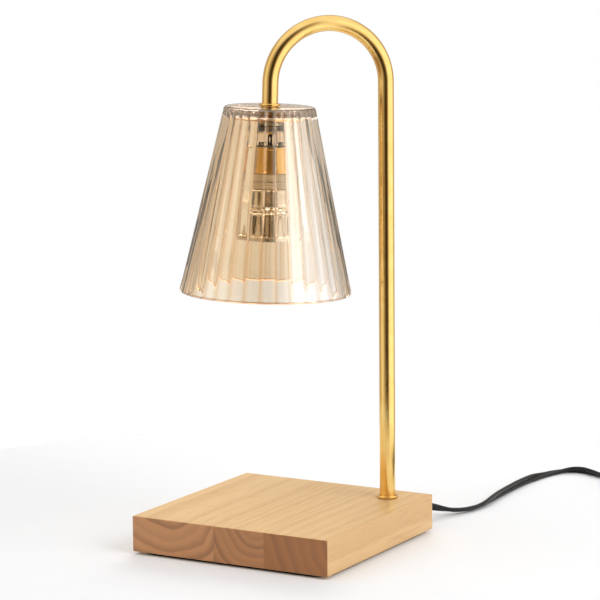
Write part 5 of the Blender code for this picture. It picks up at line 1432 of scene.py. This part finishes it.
wells = [
    pillar(f"screw_well_{number}", [
        (x + across, y + away) for x, y in arc(0.0, 0.0, SCREW_HEAD + FIT_GAP, 0.0, 2 * math.pi, 32)[:-1]
    ], -SCREW_HEAD, SCREW_HEAD_TOP + FIT_GAP)
    for number, (across, away) in enumerate(SCREW_PLACES)
]
wedge = pillar("wedge", WEDGE, DIMMER_HEIGHT - WEDGE_DEPTH, DIMMER_HEIGHT + WEDGE_DEPTH)
case_bottom = carved(make_tray("case_bottom", False), *case_cutters(), *wells)
case_top = carved(make_tray("case_top", True), *case_cutters(), wedge)
case_pieces = [
    piece("case_bottom", case_bottom, BLACK_PLASTIC, ["dimmer_bottom"], at=ON_DIMMER),
    piece("case_top", case_top, BLACK_PLASTIC, ["dimmer_top"], at=ON_DIMMER),
]
print("the case has", sum(len(half.data.polygons) for half in case_pieces), "faces")

# %% [markdown]
# ## The thumb wheel and the case's screws
# The wheel has eighteen scallops for the thumb, again a wave round the axis, and a short axle that turns
# between the board and the lid. It rides on its own body, so that it turns with its joint.
# %% Wheel and screws
WHEEL_NOTCHES = 18
WHEEL_NOTCH_DEPTH = 0.0005
AXLE_RADIUS = 0.0015
RECESS_WIDTH_SHARE = 0.28
WHEEL_LOW = DIMMER_LEVEL - WHEEL_THICKNESS / 2
WHEEL_TOP = DIMMER_LEVEL + WHEEL_THICKNESS / 2
wheel_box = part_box("dimmer_wheel")
WHEEL_PLACE = ON_DIMMER @ Matrix.Translation((0.0, DIMMER_WIDTH / 2 + WHEEL_PROUD - WHEEL_RADIUS, 0.0))


def make_wheel():
    low, high = wheel_box[0].z, wheel_box[1].z
    outline = eased([
        (0.0, high), (AXLE_RADIUS, high), (AXLE_RADIUS, WHEEL_TOP), (WHEEL_RADIUS, WHEEL_TOP),
        (WHEEL_RADIUS, WHEEL_LOW), (AXLE_RADIUS, WHEEL_LOW), (AXLE_RADIUS, low), (0.0, low),
    ], SOFT_EASE, 3, closed=False)

    def scallop(index, radius, height, angle):
        if radius < WHEEL_RADIUS / 2:
            return radius, height
        dip = ((1 - math.cos(WHEEL_NOTCHES * angle)) / 2) ** 1.5
        return radius - WHEEL_NOTCH_DEPTH * dip, height

    return turned("thumb_wheel", outline, WHEEL_NOTCHES * 12, ring=False, press=scallop)


def cross_screw(name, node, place):
    """A small screw that points up, with a cross recess in its head."""
    body = turned(name, eased([
        (0.0, SCREW_TIP), (SCREW_SHANK, SCREW_TIP), (SCREW_SHANK, SCREW_HEAD_TOP),
        (SCREW_HEAD, SCREW_HEAD_TOP), (SCREW_HEAD, FIT_GAP), (0.0, FIT_GAP),
    ], SMALL_EASE, 3, closed=False), 32, ring=False)
    long, short = 1.3 * SCREW_HEAD, RECESS_WIDTH_SHARE * SCREW_HEAD
    bars = [
        pillar(f"recess_{number}", rounded_rectangle(*size, short / 4, 2), -FIT_GAP, SCREW_HEAD_TOP / 2)
        for number, size in enumerate(((long, short), (short, long)))
    ]
    at = ON_DIMMER @ Matrix.Translation((*place, 0.0)) @ Matrix.Rotation(math.radians(25.0), 4, "Z")
    return piece(name, carved(body, *bars), ZINC_STEEL, [node], at=at)


thumb_wheel = piece(
    "thumb_wheel", make_wheel(), BLACK_PLASTIC, ["dimmer_wheel"], "dimmer_wheel", WHEEL_PLACE
)
case_screws = [
    cross_screw(f"case_screw_{number}", f"dimmer_screw_{number}", place)
    for number, place in enumerate(SCREW_PLACES, start=1)
]
print("the wheel is", round(2000 * WHEEL_RADIUS, 1), "mm across")

# %% [markdown]
# ## The plug
# A moulded plug is one soft shape: a ribbed nose round the cord swells into a flat grip with round edges
# and a few finger ridges. Sections that change along its length follow the mould better than a box with
# joined parts would. The two punched blades keep their solids, with eased edges.
# %% Plug body
PLUG_NOSE = 0.014
PLUG_LENGTH = 0.036
PLUG_STEP = 0.00025
PLUG_WIDTHS = [
    (0.0, 0.0068), (PLUG_NOSE, 0.0104), (0.0180, 0.0196), (0.0210, 0.0205), (0.0340, 0.0205),
    (PLUG_LENGTH, 0.0186),
]
PLUG_HEIGHTS = [
    (0.0, 0.0068), (PLUG_NOSE, 0.0104), (0.0180, 0.0122), (0.0210, 0.0125), (0.0340, 0.0125),
    (PLUG_LENGTH, 0.0106),
]
PLUG_ROUNDS = [(0.0, 0.0033), (PLUG_NOSE, 0.0050), (0.0210, 0.0030), (PLUG_LENGTH, 0.0026)]
NOSE_RIBS = 4
NOSE_RIB_DEPTH = 0.0005
GRIP_RIDGES = 5
GRIP_START, GRIP_END = 0.0215, 0.0315
GRIP_DEPTH = 0.0005


def plug_section(distance):
    """The plug's outline at a distance from the cord's side."""
    width, height = keyed(PLUG_WIDTHS, distance), keyed(PLUG_HEIGHTS, distance)
    if distance < PLUG_NOSE:
        groove = math.sin(math.pi * NOSE_RIBS * distance / PLUG_NOSE) ** 8
        width, height = width - 2 * NOSE_RIB_DEPTH * groove, height - 2 * NOSE_RIB_DEPTH * groove
    elif GRIP_START < distance < GRIP_END:
        share = (distance - GRIP_START) / (GRIP_END - GRIP_START)
        width -= 2 * GRIP_DEPTH * math.sin(math.pi * GRIP_RIDGES * share) ** 2
    corner = min(keyed(PLUG_ROUNDS, distance), 0.48 * width, 0.48 * height)
    x, y = PLUG_PLACE[0], PLUG_PLACE[1] - distance
    return [(x + u, y, PLUG_LEVEL + v) for u, v in rounded_rectangle(width, height, corner)]


plug_rows = [plug_section(step * PLUG_STEP) for step in range(round(PLUG_LENGTH / PLUG_STEP) + 1)]
moulded_plug = piece(
    "moulded_plug", skin("moulded_plug", plug_rows, "capped"), BLACK_RUBBER, ["plug_body"]
)
for number in (1, 2):
    rounded_solid(f"plug_blade_{number}", CHROME)
print("the plug is", round(1000 * PLUG_LENGTH, 1), "mm long without its blades")

# %% [markdown]
# ## The strap round the coil
# A soft strap holds the spare turns together. It wraps once round both layers and its free end lies on
# top of its start, where it clings. Its path is a rounded rectangle in the plane across the turns, and a
# thin section with round edges is carried along it.
# %% Strap
TIE_TURN = math.radians(215.0)
STRAP_SHEET = 0.0006
STRAP_WIDTH = 0.0050
STRAP_INNER, STRAP_OUTER = 0.0171, 0.0435
STRAP_FOOT, STRAP_TOP = 0.00045, 0.00705
STRAP_CORNER = 0.0016
STRAP_LAP = 0.0095


def strap_path():
    """The middle of the strap's sheet, as (distance from the coil's axis, height)."""
    low, high, soft = STRAP_FOOT, STRAP_TOP, STRAP_CORNER
    half = math.pi / 2
    start = (STRAP_INNER + STRAP_OUTER) / 2
    path = [(start + STRAP_LAP, high), (start, high)]
    path += arc(STRAP_INNER + soft, high - soft, soft, half, 2 * half, 6)
    path += arc(STRAP_INNER + soft, low + soft, soft, 2 * half, 3 * half, 6)
    path += arc(STRAP_OUTER - soft, low + soft, soft, 3 * half, 4 * half, 6)
    path += arc(STRAP_OUTER - soft, high - soft, soft, 0.0, half, 6)
    lap = high + 1.15 * STRAP_SHEET
    return path + [(start + 1.35 * STRAP_LAP, high), (start + STRAP_LAP, lap), (start - STRAP_LAP, lap)]


def make_strap():
    path = [Vector(point) for point in strap_path()]
    section = rounded_rectangle(STRAP_WIDTH, STRAP_SHEET, 0.45 * STRAP_SHEET, 3)
    rows = []
    for index, place in enumerate(path):
        way = (path[min(index + 1, len(path) - 1)] - path[max(index - 1, 0)]).normalized()
        off = Vector((-way.y, way.x))
        rows.append([(place.x + off.x * v, u, place.y + off.y * v) for u, v in section])
    return skin("coil_strap", rows, "capped")


ON_COIL = Matrix.Translation((*COIL_PLACE, 0.0)) @ Matrix.Rotation(TIE_TURN, 4, "Z")
coil_strap = piece("coil_strap", make_strap(), BLACK_RUBBER, ["cord_tie"], at=ON_COIL)
print("the strap is", round(1000 * STRAP_WIDTH, 1), "mm wide")
